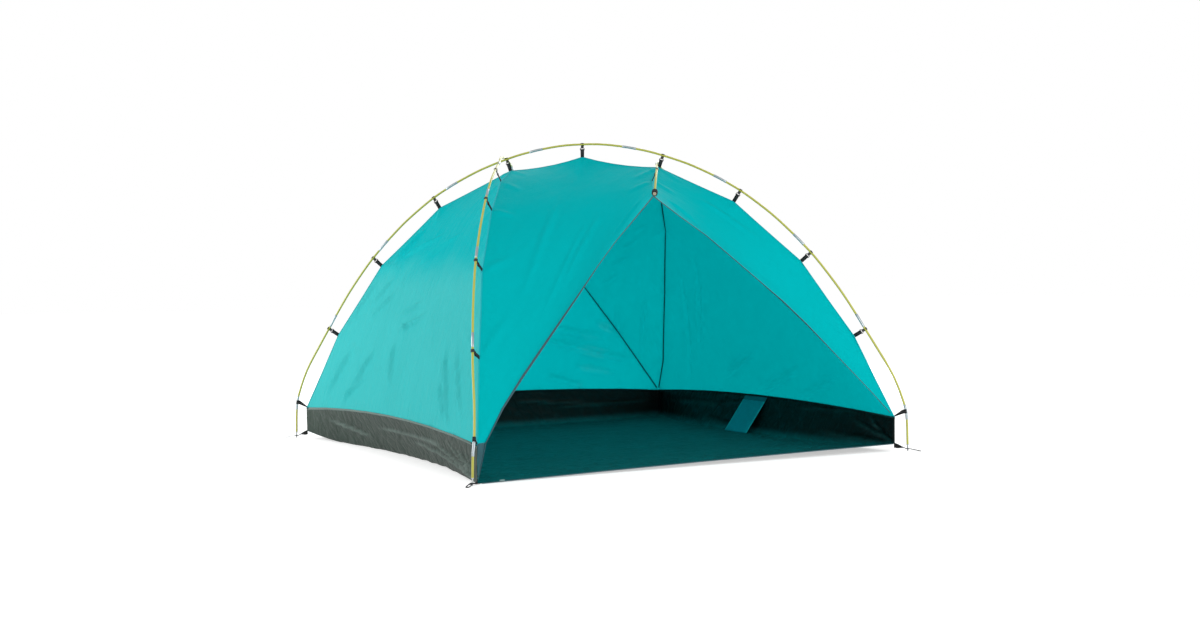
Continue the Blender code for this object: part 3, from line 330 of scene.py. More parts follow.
pole_routes = {}
for name in ("main", "left", "brow"):
    rings = ring_places(f"{name}_pole", ring_reach)
    pole_routes[name] = [centre for centre, radius in rings]
    curve = bent(pole_routes[name])
    body = tube(f"{name}_pole_tubes", curve, pole_radius, pole_yellow)
    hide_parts(f"{name}_pole")
    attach(body, "tent")
    thick = [k for k, ring in enumerate(rings) if ring[1] > (pole_radius + ferrule_radius) / 2]
    for count, (first, last) in enumerate(zip(thick[0::2], thick[1::2]), 1):
        covered = curve[first * bend_steps:last * bend_steps + 1]
        sleeve = tube(f"{name}_pole_ferrule_{count}", covered, ferrule_radius, ferrule_silver,
                      ferrule_round)
        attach(sleeve, "tent")

tip_metal = metal("tip_turned_metal", (0.42, 0.44, 0.44), (0.28, 0.29, 0.28), 0.34)
braid = Finish("shock_cord_braid")
place = braid.place()
twist = braid.node("TexWave", {"Vector": place, "Scale": 300.0, "Distortion": 2.0}, output=1)
fleck = braid.node("TexNoise", {"Vector": place, "Scale": 400.0})
ridges = braid.node("Bump", {"Height": twist * 0.0003, "Strength": 0.7, "Distance": 1.0})
cord_braid = braid.set(Base_Color=braid.mix(fleck, (0.72, 0.72, 0.70), (0.50, 0.50, 0.52)),
                       Roughness=twist * 0.1 + 0.7, Normal=ridges)


def refinish(node, material):
    """Gives a CAD node another material."""
    materials = frame["nodes"][node].data.materials
    materials.clear()
    materials.append(material)


for node in frame["nodes"]:
    if node.startswith("foot_tip_"):
        refinish(node, tip_metal)
    if node.endswith("_shock_cord"):
        refinish(node, cord_braid)

# Hooks.
# Moulded black plastic clips, each with a crook that snaps over the pole and a bar below
# that a webbing tab holds. The beige cap on the brow pole's front end is moulded too.


def moulded(name, colour, worn, roughness):
    """Moulded plastic with a fine grain, paler where it is scuffed."""
    plastic = Finish(name)
    place = plastic.place()
    grain = plastic.node("TexNoise", {"Vector": place, "Scale": 700.0, "Detail": 3.0})
    scuffs = plastic.node("TexNoise", {"Vector": place, "Scale": 90.0, "Detail": 5.0})
    tint = plastic.mix(scuffs.sum("POWER", 3.0), colour, worn)
    bump = plastic.node("Bump", {"Height": grain * 0.0002, "Strength": 0.4, "Distance": 1.0})
    return plastic.set(Base_Color=tint, Roughness=grain * 0.15 + roughness, Normal=bump)


hook_plastic = moulded("hook_black_plastic", (0.012, 0.012, 0.013), (0.07, 0.07, 0.07), 0.36)
cap_plastic = moulded("cap_beige_plastic", (0.40, 0.36, 0.25), (0.55, 0.52, 0.42), 0.50)
bars = {}
for joint in frame["joints"]:
    node = joint["child"]
    if node.startswith("hook_"):
        bar, along = Vector(joint["pos_m"]), Vector(joint["axis"]).normalized()
        low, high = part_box(node)
        out = (low + high) / 2 - bar
        bars[node] = (bar, along, (out - along * out.dot(along)).normalized())
        refinish(node, hook_plastic)
refinish("brow_pole_cap", cap_plastic)

# Canopy panels.
# Five panels and a narrow gore of thin coated polyester are sewn edge to edge along the
# seams under the poles. Stretched between the clips, they keep long soft tension folds.
room_middle = Vector((0.0, 0.0, 0.45))
hook_to_seam = 0.034
cloth_thickness = 0.0007
rim_face_width = 0.0016
sheet_merge, tape_merge = 1e-5, 1e-6
cloth_levels = 4
fold_lift = 2.6
fold_overrun_share, fold_side_reach, fold_width_reach = 0.1, 0.12, 3
fold_rise_share, fold_fall_share, fold_ditch_share = 0.25, 0.55, 0.8
grain_stretch_share = 0.8
soft_pitch, fine_pitch, pucker_pitch = 5.5, 17.0, 42.0
fine_share = 0.35
pucker_height, held_rim = 0.0022, 0.035


def ease(low, high, value):
    """0 below low, 1 above high and a smooth change from one to the other."""
    share = min(max((value - low) / (high - low), 0.0), 1.0)
    return share * share * (3 - 2 * share)


def merged_copy(node, apart):
    """A CAD mesh with its loose triangles joined where corners are no further apart."""
    bm = bmesh.new()
    bm.from_mesh(frame["nodes"][node].data)
    bmesh.ops.remove_doubles(bm, verts=bm.verts, dist=apart)
    return bm


def outer_skin(node, middle):
    """The outer face of a CAD sheet, merged, with its triangles paired to quads again."""
    bm = merged_copy(node, sheet_merge)
    unwanted = []
    for face in bm.faces:
        longest = max(edge.calc_length() for edge in face.edges)
        narrow = 2 * face.calc_area() / longest < rim_face_width
        if narrow or face.normal.dot(face.calc_center_median() - middle) < 0:
            unwanted.append(face)
    bmesh.ops.delete(bm, geom=unwanted, context="FACES")
    bmesh.ops.delete(bm, geom=[v for v in bm.verts if not v.link_faces], context="VERTS")
    bmesh.ops.join_triangles(bm, faces=bm.faces, angle_face_threshold=0.7,
                             angle_shape_threshold=1.2)
    return bm


def smooth_copy(bm, name, levels, fold_angle=2.0):
    """The mesh subdivided, its rim and its folds held where they are."""
    corner = bm.verts.layers.float.new("crease_vert")
    edges = bm.edges.layers.float.new("crease_edge")
    for vertex in bm.verts:
        vertex[corner] = 1.0 if vertex.is_boundary else 0.0
    for edge in bm.edges:
        folded = len(edge.link_faces) == 2 and edge.calc_face_angle() > fold_angle
        edge[edges] = 1.0 if edge.is_boundary or folded else 0.0
    piece = bpy.data.objects.new(name, finished_mesh(bm, name))
    bpy.context.collection.objects.link(piece)
    rounded = piece.modifiers.new("rounded", "SUBSURF")
    rounded.levels = rounded.render_levels = levels
    finished = as_evaluated(piece)
    for attribute in ("crease_vert", "crease_edge"):
        if attribute in finished.attributes:
            finished.attributes.remove(finished.attributes[attribute])
    return finished


def rim_distance(mesh):
    """How far each vertex is from the mesh's rim."""
    bm = bmesh.new()
    bm.from_mesh(mesh)
    rim = [v.co.copy() for v in bm.verts if v.is_boundary]
    places = [v.co.copy() for v in bm.verts]
    bm.free()
    tree = KDTree(len(rim))
    for count, spot in enumerate(rim):
        tree.insert(spot, count)
    tree.balance()
    return [tree.find(spot)[2] for spot in places]


def fold(point, normal, start, end, width, depth):
    """Height of one long fold that dies away at both ends."""
    run = end - start
    share = (point - start).dot(run) / run.length_squared
    if not -fold_overrun_share < share < 1 + fold_overrun_share:
        return 0.0
    off = point - start - run * share
    if off.length > fold_side_reach:
        return 0.0
    across = (off - normal * off.dot(normal)).length / width
    if across > fold_width_reach:
        return 0.0
    rise = ease(-fold_overrun_share, fold_rise_share, share)
    fall = 1 - ease(fold_fall_share, 1 + fold_overrun_share, share)
    ditch = 1 - fold_ditch_share * across * across
    return depth * (rise * fall) * math.exp(-across * across) * ditch


def crease_cloth(mesh, folds, grain, depth, seed):
    """Moves the cloth along its normals: long folds, soft unevenness and puckered seams."""
    far = rim_distance(mesh)
    grain = Vector(grain).normalized()
    normals = [v.normal.copy() for v in mesh.vertices]
    for vertex, normal, edge in zip(mesh.vertices, normals, far):
        point = vertex.co.copy()
        across = point - grain * point.dot(grain) * grain_stretch_share
        soft = noise.noise(across * soft_pitch + Vector((seed, 0, 0)))
        fine = noise.noise(across * fine_pitch + Vector((0, seed, 0)))
        height = depth * (soft + fine_share * fine)
        height += pucker_height * noise.noise(point * pucker_pitch) * math.exp(-edge / held_rim)
        height += sum(fold(point, normal, *item) for item in folds)
        vertex.co = point + normal * height * ease(0.0, held_rim, edge)
    mesh.update()


def seen_folds(mesh, folds):
    """Folds given by their two ends in the photograph, as folds on the cloth itself."""
    cloth = BVHTree.FromPolygons([v.co for v in mesh.vertices],
                                 [face.vertices for face in mesh.polygons])
    eye = Vector(camera_place)
    found = []
    for start, end, width, height in folds:
        ends = [cloth.ray_cast(eye, sight_line(*spot))[0] for spot in (start, end)]
        if None not in ends:
            found.append((*ends, width, height * fold_lift))
    return found


def cloth_uv(mesh, along):
    """A map in metres on the piece's own mean plane, for its weave."""
    mean = Vector()
    for face in mesh.polygons:
        mean += face.normal * face.area
    mean.normalize()
    along = Vector(along)
    along = (along - mean * mean.dot(along)).normalized()
    across = along.cross(mean)
    layer = mesh.uv_layers.new(name="cloth")
    for loop in mesh.loops:
        spot = mesh.vertices[loop.vertex_index].co
        layer.data[loop.index].uv = (spot.dot(across), spot.dot(along))


def thicken(piece, thickness, inner=0, offset=-1.0):
    """Gives a sheet its thickness, inwards unless an offset says otherwise."""
    wall = piece.modifiers.new("thickness", "SOLIDIFY")
    wall.thickness = thickness
    wall.offset = offset
    wall.material_offset = inner


def shaded(colour, share):
    """The colour made darker, or paler where the share is over 1."""
    return tuple(channel * share for channel in colour)


def canopy_cloth(name, low_colour, high_colour, low=0.0, high=2.0, through=0.30,
                 glow=(0.0, 0.78, 0.81), folds=0.006, gloss=0.015, patch=None):
    """Coated taffeta: a fine weave, small dents and some light from behind."""
    waver, threads, thread_height = 0.16, 420.0, 0.00004
    cloth = Finish(name)
    place = cloth.place()
    flat = cloth.node("UVMap", {}, uv_map="cloth")
    height = cloth.node("SeparateXYZ", {0: place}, output=2)
    wavy = cloth.node("TexNoise", {"Vector": place, "Scale": 4.5, "Detail": 3.0})
    # Colour by height: low_colour below low, high_colour above high. The left wall uses this for painted
    # light on its lower part.
    share = cloth.between(height + wavy * waver, low + waver / 2, high + waver / 2)
    colour = cloth.mix(share, low_colour, high_colour)
    dark = cloth.mix(share, shaded(low_colour, 0.88), shaded(high_colour, 0.88))
    cloudy = cloth.node("TexNoise", {"Vector": place, "Scale": 2.2, "Detail": 4.0,
                                     "Roughness": 0.6})
    mottle = cloth.node("TexNoise", {"Vector": place, "Scale": 38.0, "Detail": 5.0})
    tint = cloth.mix(cloudy * 0.5 + mottle * 0.12, colour, dark)
    if patch:
        tint = cloth.mix(cloth.between(height, *patch[:2]), patch[2], tint)
    warp, weft = (cloth.node("TexWave", {"Vector": flat, "Scale": threads, "Distortion": 0.3},
                             output=1, bands_direction=way) for way in "XY")
    stretched = cloth.node("Mapping", {"Vector": flat, "Scale": (9.0, 1.6, 1.0)})
    creases = cloth.node("TexNoise", {"Vector": stretched, "Scale": 3.0, "Detail": 6.0,
                                      "Roughness": 0.62})
    puckers = cloth.node("TexNoise", {"Vector": place, "Scale": 14.0, "Detail": 5.0,
                                      "Roughness": 0.55})
    relief = (warp + weft) * thread_height + creases * folds + puckers * (folds * 0.4)
    bump = cloth.node("Bump", {"Height": relief, "Strength": 0.6, "Distance": 1.0})
    cloth.set(Base_Color=tint, Roughness=mottle * 0.16 + 0.46, Normal=bump,
              Specular_IOR_Level=gloss)
    behind = cloth.node("BsdfTranslucent", {"Color": glow, "Normal": bump})
    front = Value(cloth.tree, cloth.shader.outputs[0])
    return cloth.show(cloth.node("MixShader", {0: through, 1: front, 2: behind}))


teal_colour, coating_colour = (0.0, 0.55, 0.58), (0.0, 0.50, 0.52)
tub_top, patch_blend = 0.150, 0.004
wedge_grey = (0.068, 0.135, 0.160)
teal = canopy_cloth("canopy_teal_cloth", teal_colour, teal_colour)
wedged_teal = canopy_cloth("canopy_front_left_cloth", teal_colour, teal_colour,
                           patch=(tub_top, tub_top + patch_blend, wedge_grey))
# Painted light: the left wall is the same teal cloth, painted paler teal below 0.72 to 0.90 m, as if lit
# more strongly from the left.
left_teal_painted_light = canopy_cloth("canopy_left_cloth", (0.062, 0.61, 0.61), teal_colour, 0.72, 0.90,
                          folds=0.018, gloss=0.04)
inside_teal = canopy_cloth("canopy_teal_coating", coating_colour, coating_colour, through=0.75,
                           glow=(0.10, 0.95, 0.97))

# Each fold has its two ends, in the picture's pixels, then its width and its height.
canopy = {
    "left_wall": dict(outside=left_teal_painted_light, grain=(0.1, 0.15, 1), depth=0.0045, seed=3.1,
                      flat=(1.86, 1.62), area=1.65, folds=[
        ((352, 349), (325, 398), 0.016, 0.007), ((374, 351), (349, 391), 0.016, 0.007),
        ((394, 344), (389, 391), 0.018, 0.006), ((363, 372), (338, 408), 0.014, 0.005),
        ((445, 351), (447, 429), 0.014, 0.006), ((456, 346), (461, 429), 0.012, 0.005),
        ((438, 384), (443, 424), 0.012, 0.005), ((345, 397), (370, 372), 0.012, 0.005),
        ((393, 281), (372, 306), 0.010, 0.006), ((396, 293), (369, 320), 0.010, 0.006),
        ((377, 284), (347, 326), 0.014, 0.006), ((420, 304), (398, 317), 0.012, 0.006),
        ((425, 315), (396, 333), 0.012, 0.006), ((410, 322), (402, 334), 0.010, 0.005),
        ((407, 255), (443, 235), 0.016, 0.005), ((420, 262), (462, 232), 0.016, 0.005),
        ((395, 262), (430, 225), 0.016, 0.005), ((322, 407), (416, 424), 0.025, 0.008)]),
    "front_left_panel": dict(outside=wedged_teal, grain=(0.7, 0.1, 0.9), depth=0.0034, seed=5.2,
                             flat=(1.93, 0.82), area=0.85, folds=[
        ((560, 200), (520, 300), 0.020, 0.0022), ((600, 215), (560, 290), 0.018, 0.0022),
        ((640, 200), (610, 240), 0.012, 0.0020), ((585, 225), (540, 320), 0.014, 0.0016)]),
    "front_right_panel": dict(outside=teal, grain=(-0.8, 0.2, 0.7), depth=0.0034, seed=7.7,
                              flat=(1.55, 0.47), area=0.39, folds=[
        ((668, 200), (700, 225), 0.012, 0.003), ((700, 200), (760, 240), 0.020, 0.003),
        ((860, 350), (885, 400), 0.014, 0.003)]),
    "right_wall": dict(outside=teal, grain=(-0.3, 0.1, 1), depth=0.0040, seed=11.3,
                       flat=(1.86, 1.63), area=1.63, folds=[
        ((681, 277), (690, 385), 0.020, 0.005), ((694, 255), (699, 363), 0.020, 0.005),
        ((733, 394), (779, 359), 0.018, 0.007), ((725, 376), (755, 350), 0.016, 0.005),
        ((760, 392), (800, 368), 0.016, 0.005), ((800, 397), (840, 375), 0.016, 0.004)]),
    "back_wall": dict(outside=teal, grain=(0.1, -0.3, 1), depth=0.0040, seed=13.9,
                      flat=(1.86, 1.50), area=1.50, folds=[
        ((556, 329), (606, 340), 0.020, 0.008), ((584, 350), (634, 361), 0.018, 0.007),
        ((548, 342), (614, 355), 0.020, 0.007), ((545, 376), (592, 388), 0.016, 0.006),
        ((596, 324), (618, 332), 0.014, 0.005), ((575, 366), (622, 374), 0.014, 0.005)]),
    "rear_gore": dict(outside=teal, grain=(0.5, 0.5, 0.6), depth=0.0030, seed=17.4,
                      flat=(1.86, 0.81), area=0.92, folds=[
        ((602, 284), (622, 272), 0.012, 0.002), ((610, 268), (630, 256), 0.012, 0.002),
        ((620, 250), (640, 238), 0.012, 0.002), ((632, 234), (650, 222), 0.012, 0.002),
        ((645, 300), (642, 356), 0.014, 0.003)]),
}
hook_fold_share, hook_fold_width, hook_fold_height = 0.30, 0.024, 0.0050
hook_fold_near = 0.05
seam_feet = {node: bar - out * hook_to_seam for node, (bar, along, out) in bars.items()}
places, faces = [], []
rims = {}
for part_name, panel in canopy.items():
    node = "canopy_" + part_name
    skin = outer_skin(node, room_middle)
    rims[part_name] = [v.co.copy() for v in skin.verts if v.is_boundary]
    middle = sum((v.co for v in skin.verts), Vector()) / len(skin.verts)
    mesh = smooth_copy(skin, node + "_cloth", cloth_levels)
    pulled = [(foot, foot.lerp(middle, hook_fold_share), hook_fold_width, hook_fold_height)
              for foot in seam_feet.values()
              if min((foot - spot).length for spot in rims[part_name]) < hook_fold_near]
    drawn = seen_folds(mesh, panel["folds"])
    crease_cloth(mesh, drawn + pulled, panel["grain"], panel["depth"], panel["seed"])
    cloth_uv(mesh, panel["grain"])
    faces += [[len(places) + k for k in face.vertices] for face in mesh.polygons]
    places += [v.co.copy() for v in mesh.vertices]
    piece = add_piece(node + "_cloth", mesh, panel["outside"], inside_teal)
    thicken(piece, cloth_thickness, inner=1)
    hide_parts(node)
    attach(piece, "tent")
    "canopy_light_teal" if part_name == "left_wall" else "canopy_teal"
canopy_surface = BVHTree.FromPolygons(places, faces)

# Seam tapes.
# A folded strip of the canopy's own cloth is stitched over each seam, and a narrow dark
# binding covers the seam's raw edges inside.
tape_half, tape_thickness, tape_step = 0.005, 0.0006, 0.015
tape_lift, tape_ridge = 0.0012, 0.0014
lining_half, lining_drop = 0.0035, 0.0022
panel_gap, seam_spacing = 0.004, 0.005
seam_panels = {
    "main": [("left_wall", "back_wall"), ("front_left_panel", "rear_gore"),
             ("front_right_panel", "right_wall")],
    "left_front": [("left_wall", "front_left_panel")],
    "left_rear": [("back_wall", "rear_gore")],
    "brow_rear": [("right_wall", "rear_gore")],
    "brow_front": [("front_left_panel", "front_right_panel")],
}
seam_ends = {"main": (0.0015, 0.0015), "left_front": (0.0015, 0.016), "left_rear": (0.020, 0.016),
             "brow_rear": (0.020, 0.016), "brow_front": (0.045, 0.016)}


def seam_line(pairs):
    """The points where two panels' rims meet, from the seam's low end on."""
    found = []
    for one, other in pairs:
        for spot in rims[one]:
            near = min(rims[other], key=lambda rim: (rim - spot).length)
            seam = (near + spot) / 2
            fresh = all((seam - known).length > seam_spacing for known in found)
            if fresh and (near - spot).length < panel_gap:
                found.append(seam)
    return walk(found, lambda spot: spot)


def running_lengths(points):
    """How far along a line each of its points lies."""
    runs = [0.0]
    for before, after in zip(points, points[1:]):
        runs.append(runs[-1] + (Vector(after) - Vector(before)).length)
    return runs


def stepped(points, start_cut, end_cut, step):
    """Even steps along a line of points, short of it by a cut at each end."""
    runs = running_lengths(points)
    low, high = start_cut, runs[-1] - end_cut
    count = max(round((high - low) / step), 1)
    return [along_line(points, runs, low + (high - low) * k / count) for k in range(count + 1)]


def along_line(points, runs, wanted):
    """The point of a line at this length from its start."""
    k = max(i for i in range(len(runs) - 1) if runs[i] <= wanted or i == 0)
    return points[k].lerp(points[k + 1], (wanted - runs[k]) / (runs[k + 1] - runs[k]))


def strip(name, rows, *materials):
    """A band of cloth through rows of points, with a map in metres along it."""
    bm = bmesh.new()
    layer = bm.loops.layers.uv.new("cloth")
    verts = [bm.verts.new(spot) for spot in rows[0]]
    edges = [bm.edges.new(pair) for pair in zip(verts, verts[1:])]
    flat_place = {vertex: (off, 0.0) for vertex, off in zip(verts, running_lengths(rows[0]))}
    runs = running_lengths([row[len(row) // 2] for row in rows])
    for row, run in zip(rows[1:], runs[1:]):
        made = bmesh.ops.extrude_edge_only(bm, edges=edges)["geom"]
        fresh = {v for v in made if isinstance(v, bmesh.types.BMVert)}
        edges = [e for e in made if isinstance(e, bmesh.types.BMEdge) and set(e.verts) <= fresh]
        verts = [next(e.other_vert(v) for e in v.link_edges if e.other_vert(v) in fresh)
                 for v in verts]
        for vertex, spot, off in zip(verts, row, running_lengths(row)):
            vertex.co = spot
            flat_place[vertex] = (off, run)
    for face in bm.faces:
        for loop in face.loops:
            loop[layer].uv = flat_place[loop.vert]
    bm.normal_update()
    return add_piece(name, finished_mesh(bm, name), *materials)


def stitched(name, colour, thread, width, roughness=0.7):
    """Narrow cloth with a row of stitches near each edge."""
    row_share, thread_half = 0.36, 0.0005
    stitches_per_metre, stitch_gap_share, ribs = 330.0, 0.35, 2600.0
    cloth = Finish(name)
    flat = cloth.node("UVMap", {}, uv_map="cloth")
    place = cloth.place()
    apart = cloth.node("SeparateXYZ", {0: flat}, output=0)
    along = cloth.node("SeparateXYZ", {0: flat}, output=1)
    edge = (apart - width / 2).sum("ABSOLUTE")
    row = 1 - (edge - width * row_share).sum("ABSOLUTE").sum("GREATER_THAN", thread_half)
    dash = (along * stitches_per_metre).sum("FRACT").sum("GREATER_THAN", stitch_gap_share)
    stitches = row * dash
    wear = cloth.node("TexNoise", {"Vector": place, "Scale": 60.0, "Detail": 4.0})
    tint = cloth.mix(wear * 0.35, colour, shaded(colour, 0.7))
    tint = cloth.mix(stitches, tint, thread)
    rib = (along * ribs).sum("SINE")
    relief = stitches * 0.0003 + rib * 0.00003 + wear * 0.0004
    bump = cloth.node("Bump", {"Height": relief, "Strength": 0.8, "Distance": 1.0})
    return cloth.set(Base_Color=tint, Roughness=wear * 0.2 + (roughness - 0.1), Normal=bump,
                     Specular_IOR_Level=0.2)


tape_cloth = stitched("seam_tape_cloth", (0.0, 0.46, 0.52), (0.0, 0.36, 0.41), 2 * tape_half)
inner_binding = stitched("seam_binding_inside", (0.006, 0.10, 0.115), (0.02, 0.14, 0.15),
                         2 * lining_half)
lining_share = lining_half / tape_half
seams = {}
for name, pairs in seam_panels.items():
    seams[name] = seam_line(pairs)
    points = stepped(seams[name], *seam_ends[name], tape_step)
    top, under = [], []
    for k, point in enumerate(points):
        along = (points[min(k + 1, len(points) - 1)] - points[max(k - 1, 0)]).normalized()
        out = point - room_middle
        side = out.cross(along).normalized()
        lift = side.cross(along)
        lift *= 1 if lift.dot(out) > 0 else -1
        wings = []
        for way in (-1, 1):
            spot, normal, _, _ = canopy_surface.find_nearest(point + side * tape_half * way)
            wings.append((spot, normal if normal.dot(out) > 0 else -normal))
        mean = (wings[0][1] + wings[1][1]).normalized()
        left, right = (spot + normal * tape_lift for spot, normal in wings)
        top.append([left, point + mean * tape_ridge, right])
        under.append([point + (spot - point) * lining_share - mean * lining_drop
                      for spot, _ in wings])
    tape = strip(f"seam_tape_{name}_cloth", top, tape_cloth)
    lining = strip(f"seam_binding_{name}", [row[::-1] for row in under], inner_binding)
    for piece in (tape, lining):
        thicken(piece, tape_thickness)
        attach(piece, "tent")
    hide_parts(f"seam_tape_{name}")

# Hook tabs and end straps.
# A short length of black webbing is folded round each hook's bar and stitched into the
# seam; a longer one at each corner is looped round the pole's foot section.
webbing_width, webbing_thickness = 0.017, 0.0010
bar_clearance, tab_foot_lift = 0.0021, 0.0012
wrap_angle, wrap_step = 120, 20
lap_share, neck_share = 0.7, 1.7
end_strap_half, end_strap_up, end_strap_clearance = 0.009, 0.144, 0.0004
end_foot_near, end_foot_far = 0.0025, 0.0075
pole_way_step = 0.01


def webbing(name, colour, pale, width):
    """Woven strap with ribs across it, thread lines along it and a paler middle line."""
    line_share, ribs, cords, relief_height = 0.07, 2400.0, 5200.0, 0.00012
    cloth = Finish(name)
    flat = cloth.node("UVMap", {}, uv_map="cloth")
    place = cloth.place()
    apart = cloth.node("SeparateXYZ", {0: flat}, output=0)
    along = cloth.node("SeparateXYZ", {0: flat}, output=1)
    middle_line = 1 - (apart - width / 2).sum("ABSOLUTE").sum("GREATER_THAN", width * line_share)
    rib = (along * ribs).sum("SINE")
    cord = (apart * cords).sum("SINE")
    worn = cloth.node("TexNoise", {"Vector": place, "Scale": 90.0, "Detail": 5.0})
    tint = cloth.mix(worn, colour, shaded(colour, 2.2))
    tint = cloth.mix(middle_line * 0.75, tint, pale)
    relief = (rib + cord) * relief_height
    bump = cloth.node("Bump", {"Height": relief, "Strength": 0.9, "Distance": 1.0})
    return cloth.set(Base_Color=tint, Roughness=worn * 0.15 + 0.62, Normal=bump,
                     Specular_IOR_Level=0.2)


webbing_colour = (0.010, 0.011, 0.012)
strap_black = webbing("strap_black_webbing", webbing_colour, (0.055, 0.058, 0.060), webbing_width)


def looped_strap(name, bar, along, half_bar, foot_a, foot_b, inner):
    """Webbing from its foot up round a bar and back down, as one band."""
    if (foot_b - foot_a).dot(along) < 0:
        foot_a, foot_b = foot_b, foot_a
    out = bar - (foot_a + foot_b) / 2
    out = (out - along * out.dot(along)).normalized()
    side = out.cross(along)
    radius = inner + webbing_thickness * lap_share
    loop = []
    for turn in range(-wrap_angle, wrap_angle + 1, wrap_step):
        angle = math.radians(turn)
        centre = bar + side * radius * math.sin(angle) + out * radius * math.cos(angle)
        loop.append((centre - along * half_bar, centre + along * half_bar))
    neck = bar - out * radius * neck_share
    apart = side * webbing_thickness * lap_share
    start = [(foot_a - apart, foot_b - apart),
             (neck - along * half_bar - apart, neck + along * half_bar - apart)]
    finish = [(a + apart * 2, b + apart * 2) for a, b in start[::-1]]
    piece = strip(name, [(a, (a + b) / 2, b) for a, b in start + loop + finish], strap_black)
    thicken(piece, webbing_thickness, offset=0.0)
    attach(piece, "tent")


for node, (bar, along, out) in bars.items():
    feet = []
    for way in (-1, 1):
        spot = canopy_surface.find_nearest(seam_feet[node] + along * way * webbing_width / 2)[0]
        feet.append(spot + out * tab_foot_lift)
    looped_strap(node.replace("hook_", "hook_tab_"), bar, along, webbing_width / 2, *feet,
                 bar_clearance)

strap_poles = {"rear_left": ("main", "main", (-1, 1)), "front_right": ("main", "main", (1, -1)),
               "front_left": ("left", "left_front", (-1, -1)),
               "rear_right": ("left", "left_rear", (1, 1)),
               "rear_right_brow": ("brow", "brow_rear", (1, 1))}
for corner, (pole, seam, way) in strap_poles.items():
    toward = Vector((*way, 0))
    route, line = (max(ends, ends[::-1], key=lambda points: points[0].dot(toward))
                   for ends in (pole_routes[pole], seams[seam]))
    lengths = running_lengths(route)
    bar = along_line(route, lengths, end_strap_up)
    step = (along_line(route, lengths, end_strap_up + pole_way_step) - bar).normalized()
    run = (line[1] - line[0]).normalized()
    out = line[0] - room_middle
    out = (out - run * out.dot(run)).normalized() * tab_foot_lift
    low, high = (line[0] + run * (seam_ends[seam][0] + far) + out
                 for far in (end_foot_near, end_foot_far))
    looped_strap(f"end_strap_{corner}", bar, step, end_strap_half, low, high,
                 ferrule_radius + end_strap_clearance)

# Bathtub floor.
# One woven, coated sheet is folded up at three sides into a low wall. It is grey green
# outside and dark teal inside, and its stiff coating keeps many sharp small creases.
# Inside, the wall above the floor is painted near black as painted shade, and the pale crease lines and
# fold crests are painted highlights.
tub_thickness = 0.0008
floor_half = 1.0
tub_fold_angle = 0.6
tub_middle = Vector((0, 0, 0.05))
crinkle_pitches = ((9.0, 1.0), (24.0, 0.6), (60.0, 0.3))
crest_height, wall_crinkle, floor_crinkle, floor_swell = 0.006, 0.0034, 0.0045, 0.010
tub_held_rim, floor_held_rim, wall_foot = 0.025, 0.15, (0.002, 0.02)
floor_facing, swell_pitches = -0.8, (2.0, 7.0)


def crumpled(name, low, high, pale, shine, turn_height, hem=None):
    """Coated cloth full of small creases, in one colour below a height and another above, with painted
    highlights on its crease lines and fold crests.
    """
    hem_inset, hem_half, hem_from = 0.005, 0.0016, (0.06, 0.08)
    cloth = Finish(name)
    place = cloth.place()
    flat = cloth.node("UVMap", {}, uv_map="cloth")
    height = cloth.node("SeparateXYZ", {0: place}, output=2)
    broad = cloth.node("TexNoise", {"Vector": place, "Scale": 6.0, "Detail": 5.0, "Roughness": 0.6})
    cracks = cloth.node("TexVoronoi", {"Vector": place, "Scale": 16.0, "Randomness": 1.0},
                        output="Distance", feature="DISTANCE_TO_EDGE")
    small = cloth.node("TexNoise", {"Vector": place, "Scale": 34.0, "Detail": 6.0, "Roughness": 0.65})
    veins = cloth.node("TexNoise", {"Vector": place, "Scale": 17.0, "Detail": 7.0, "Roughness": 0.7},
                       noise_type="RIDGED_MULTIFRACTAL", normalize=True)
    tint = cloth.mix(cloth.between(height, *turn_height), low, high)
    dark = cloth.mix(cloth.between(height, *turn_height), shaded(low, 0.6), shaded(high, 0.6))
    tint = cloth.mix(broad * 1.2, tint, dark)
    # Painted highlights: thin pale lines along the crease ridges, as if they catch the light.
    tint = cloth.mix(veins.sum("POWER", 3.0) * 0.6, tint, pale)
    if hem:
        rim = cloth.node("Attribute", {}, output=2, attribute_name="rim_distance")
        line = 1 - (rim - hem_inset).sum("ABSOLUTE").sum("GREATER_THAN", hem_half)
        tint = cloth.mix(line * cloth.between(height, *hem_from), tint, hem)
    # Painted highlight: the tops of the corner folds are painted pale, as if lit.
    crest = cloth.node("Attribute", {}, output=2, attribute_name="fold_crest_highlight")
    tint = cloth.mix(crest * (0.10 + small * 0.9), tint, pale)
    weave = cloth.node("TexWave", {"Vector": flat, "Scale": 260.0}, output=1,
                       bands_direction="DIAGONAL")
    relief = weave * 0.00006 + broad * 0.008 + small * 0.0030 + veins * 0.0040
    relief = relief + cracks.sum("MINIMUM", 0.2) * 0.010
    bump = cloth.node("Bump", {"Height": relief, "Strength": 0.9, "Distance": 1.0})
    return cloth.set(Base_Color=tint, Roughness=small * 0.25 + (0.50 - shine), Normal=bump,
                     Specular_IOR_Level=0.18)


grey_green = (0.034, 0.058, 0.045)
# The pale colour is painted highlight on the creases and fold crests.
tub_outside = crumpled("tub_grey_green_outside", grey_green, grey_green, (0.15, 0.21, 0.185),
                       0.10, (0.0, 1.0), (0.16, 0.22, 0.20))
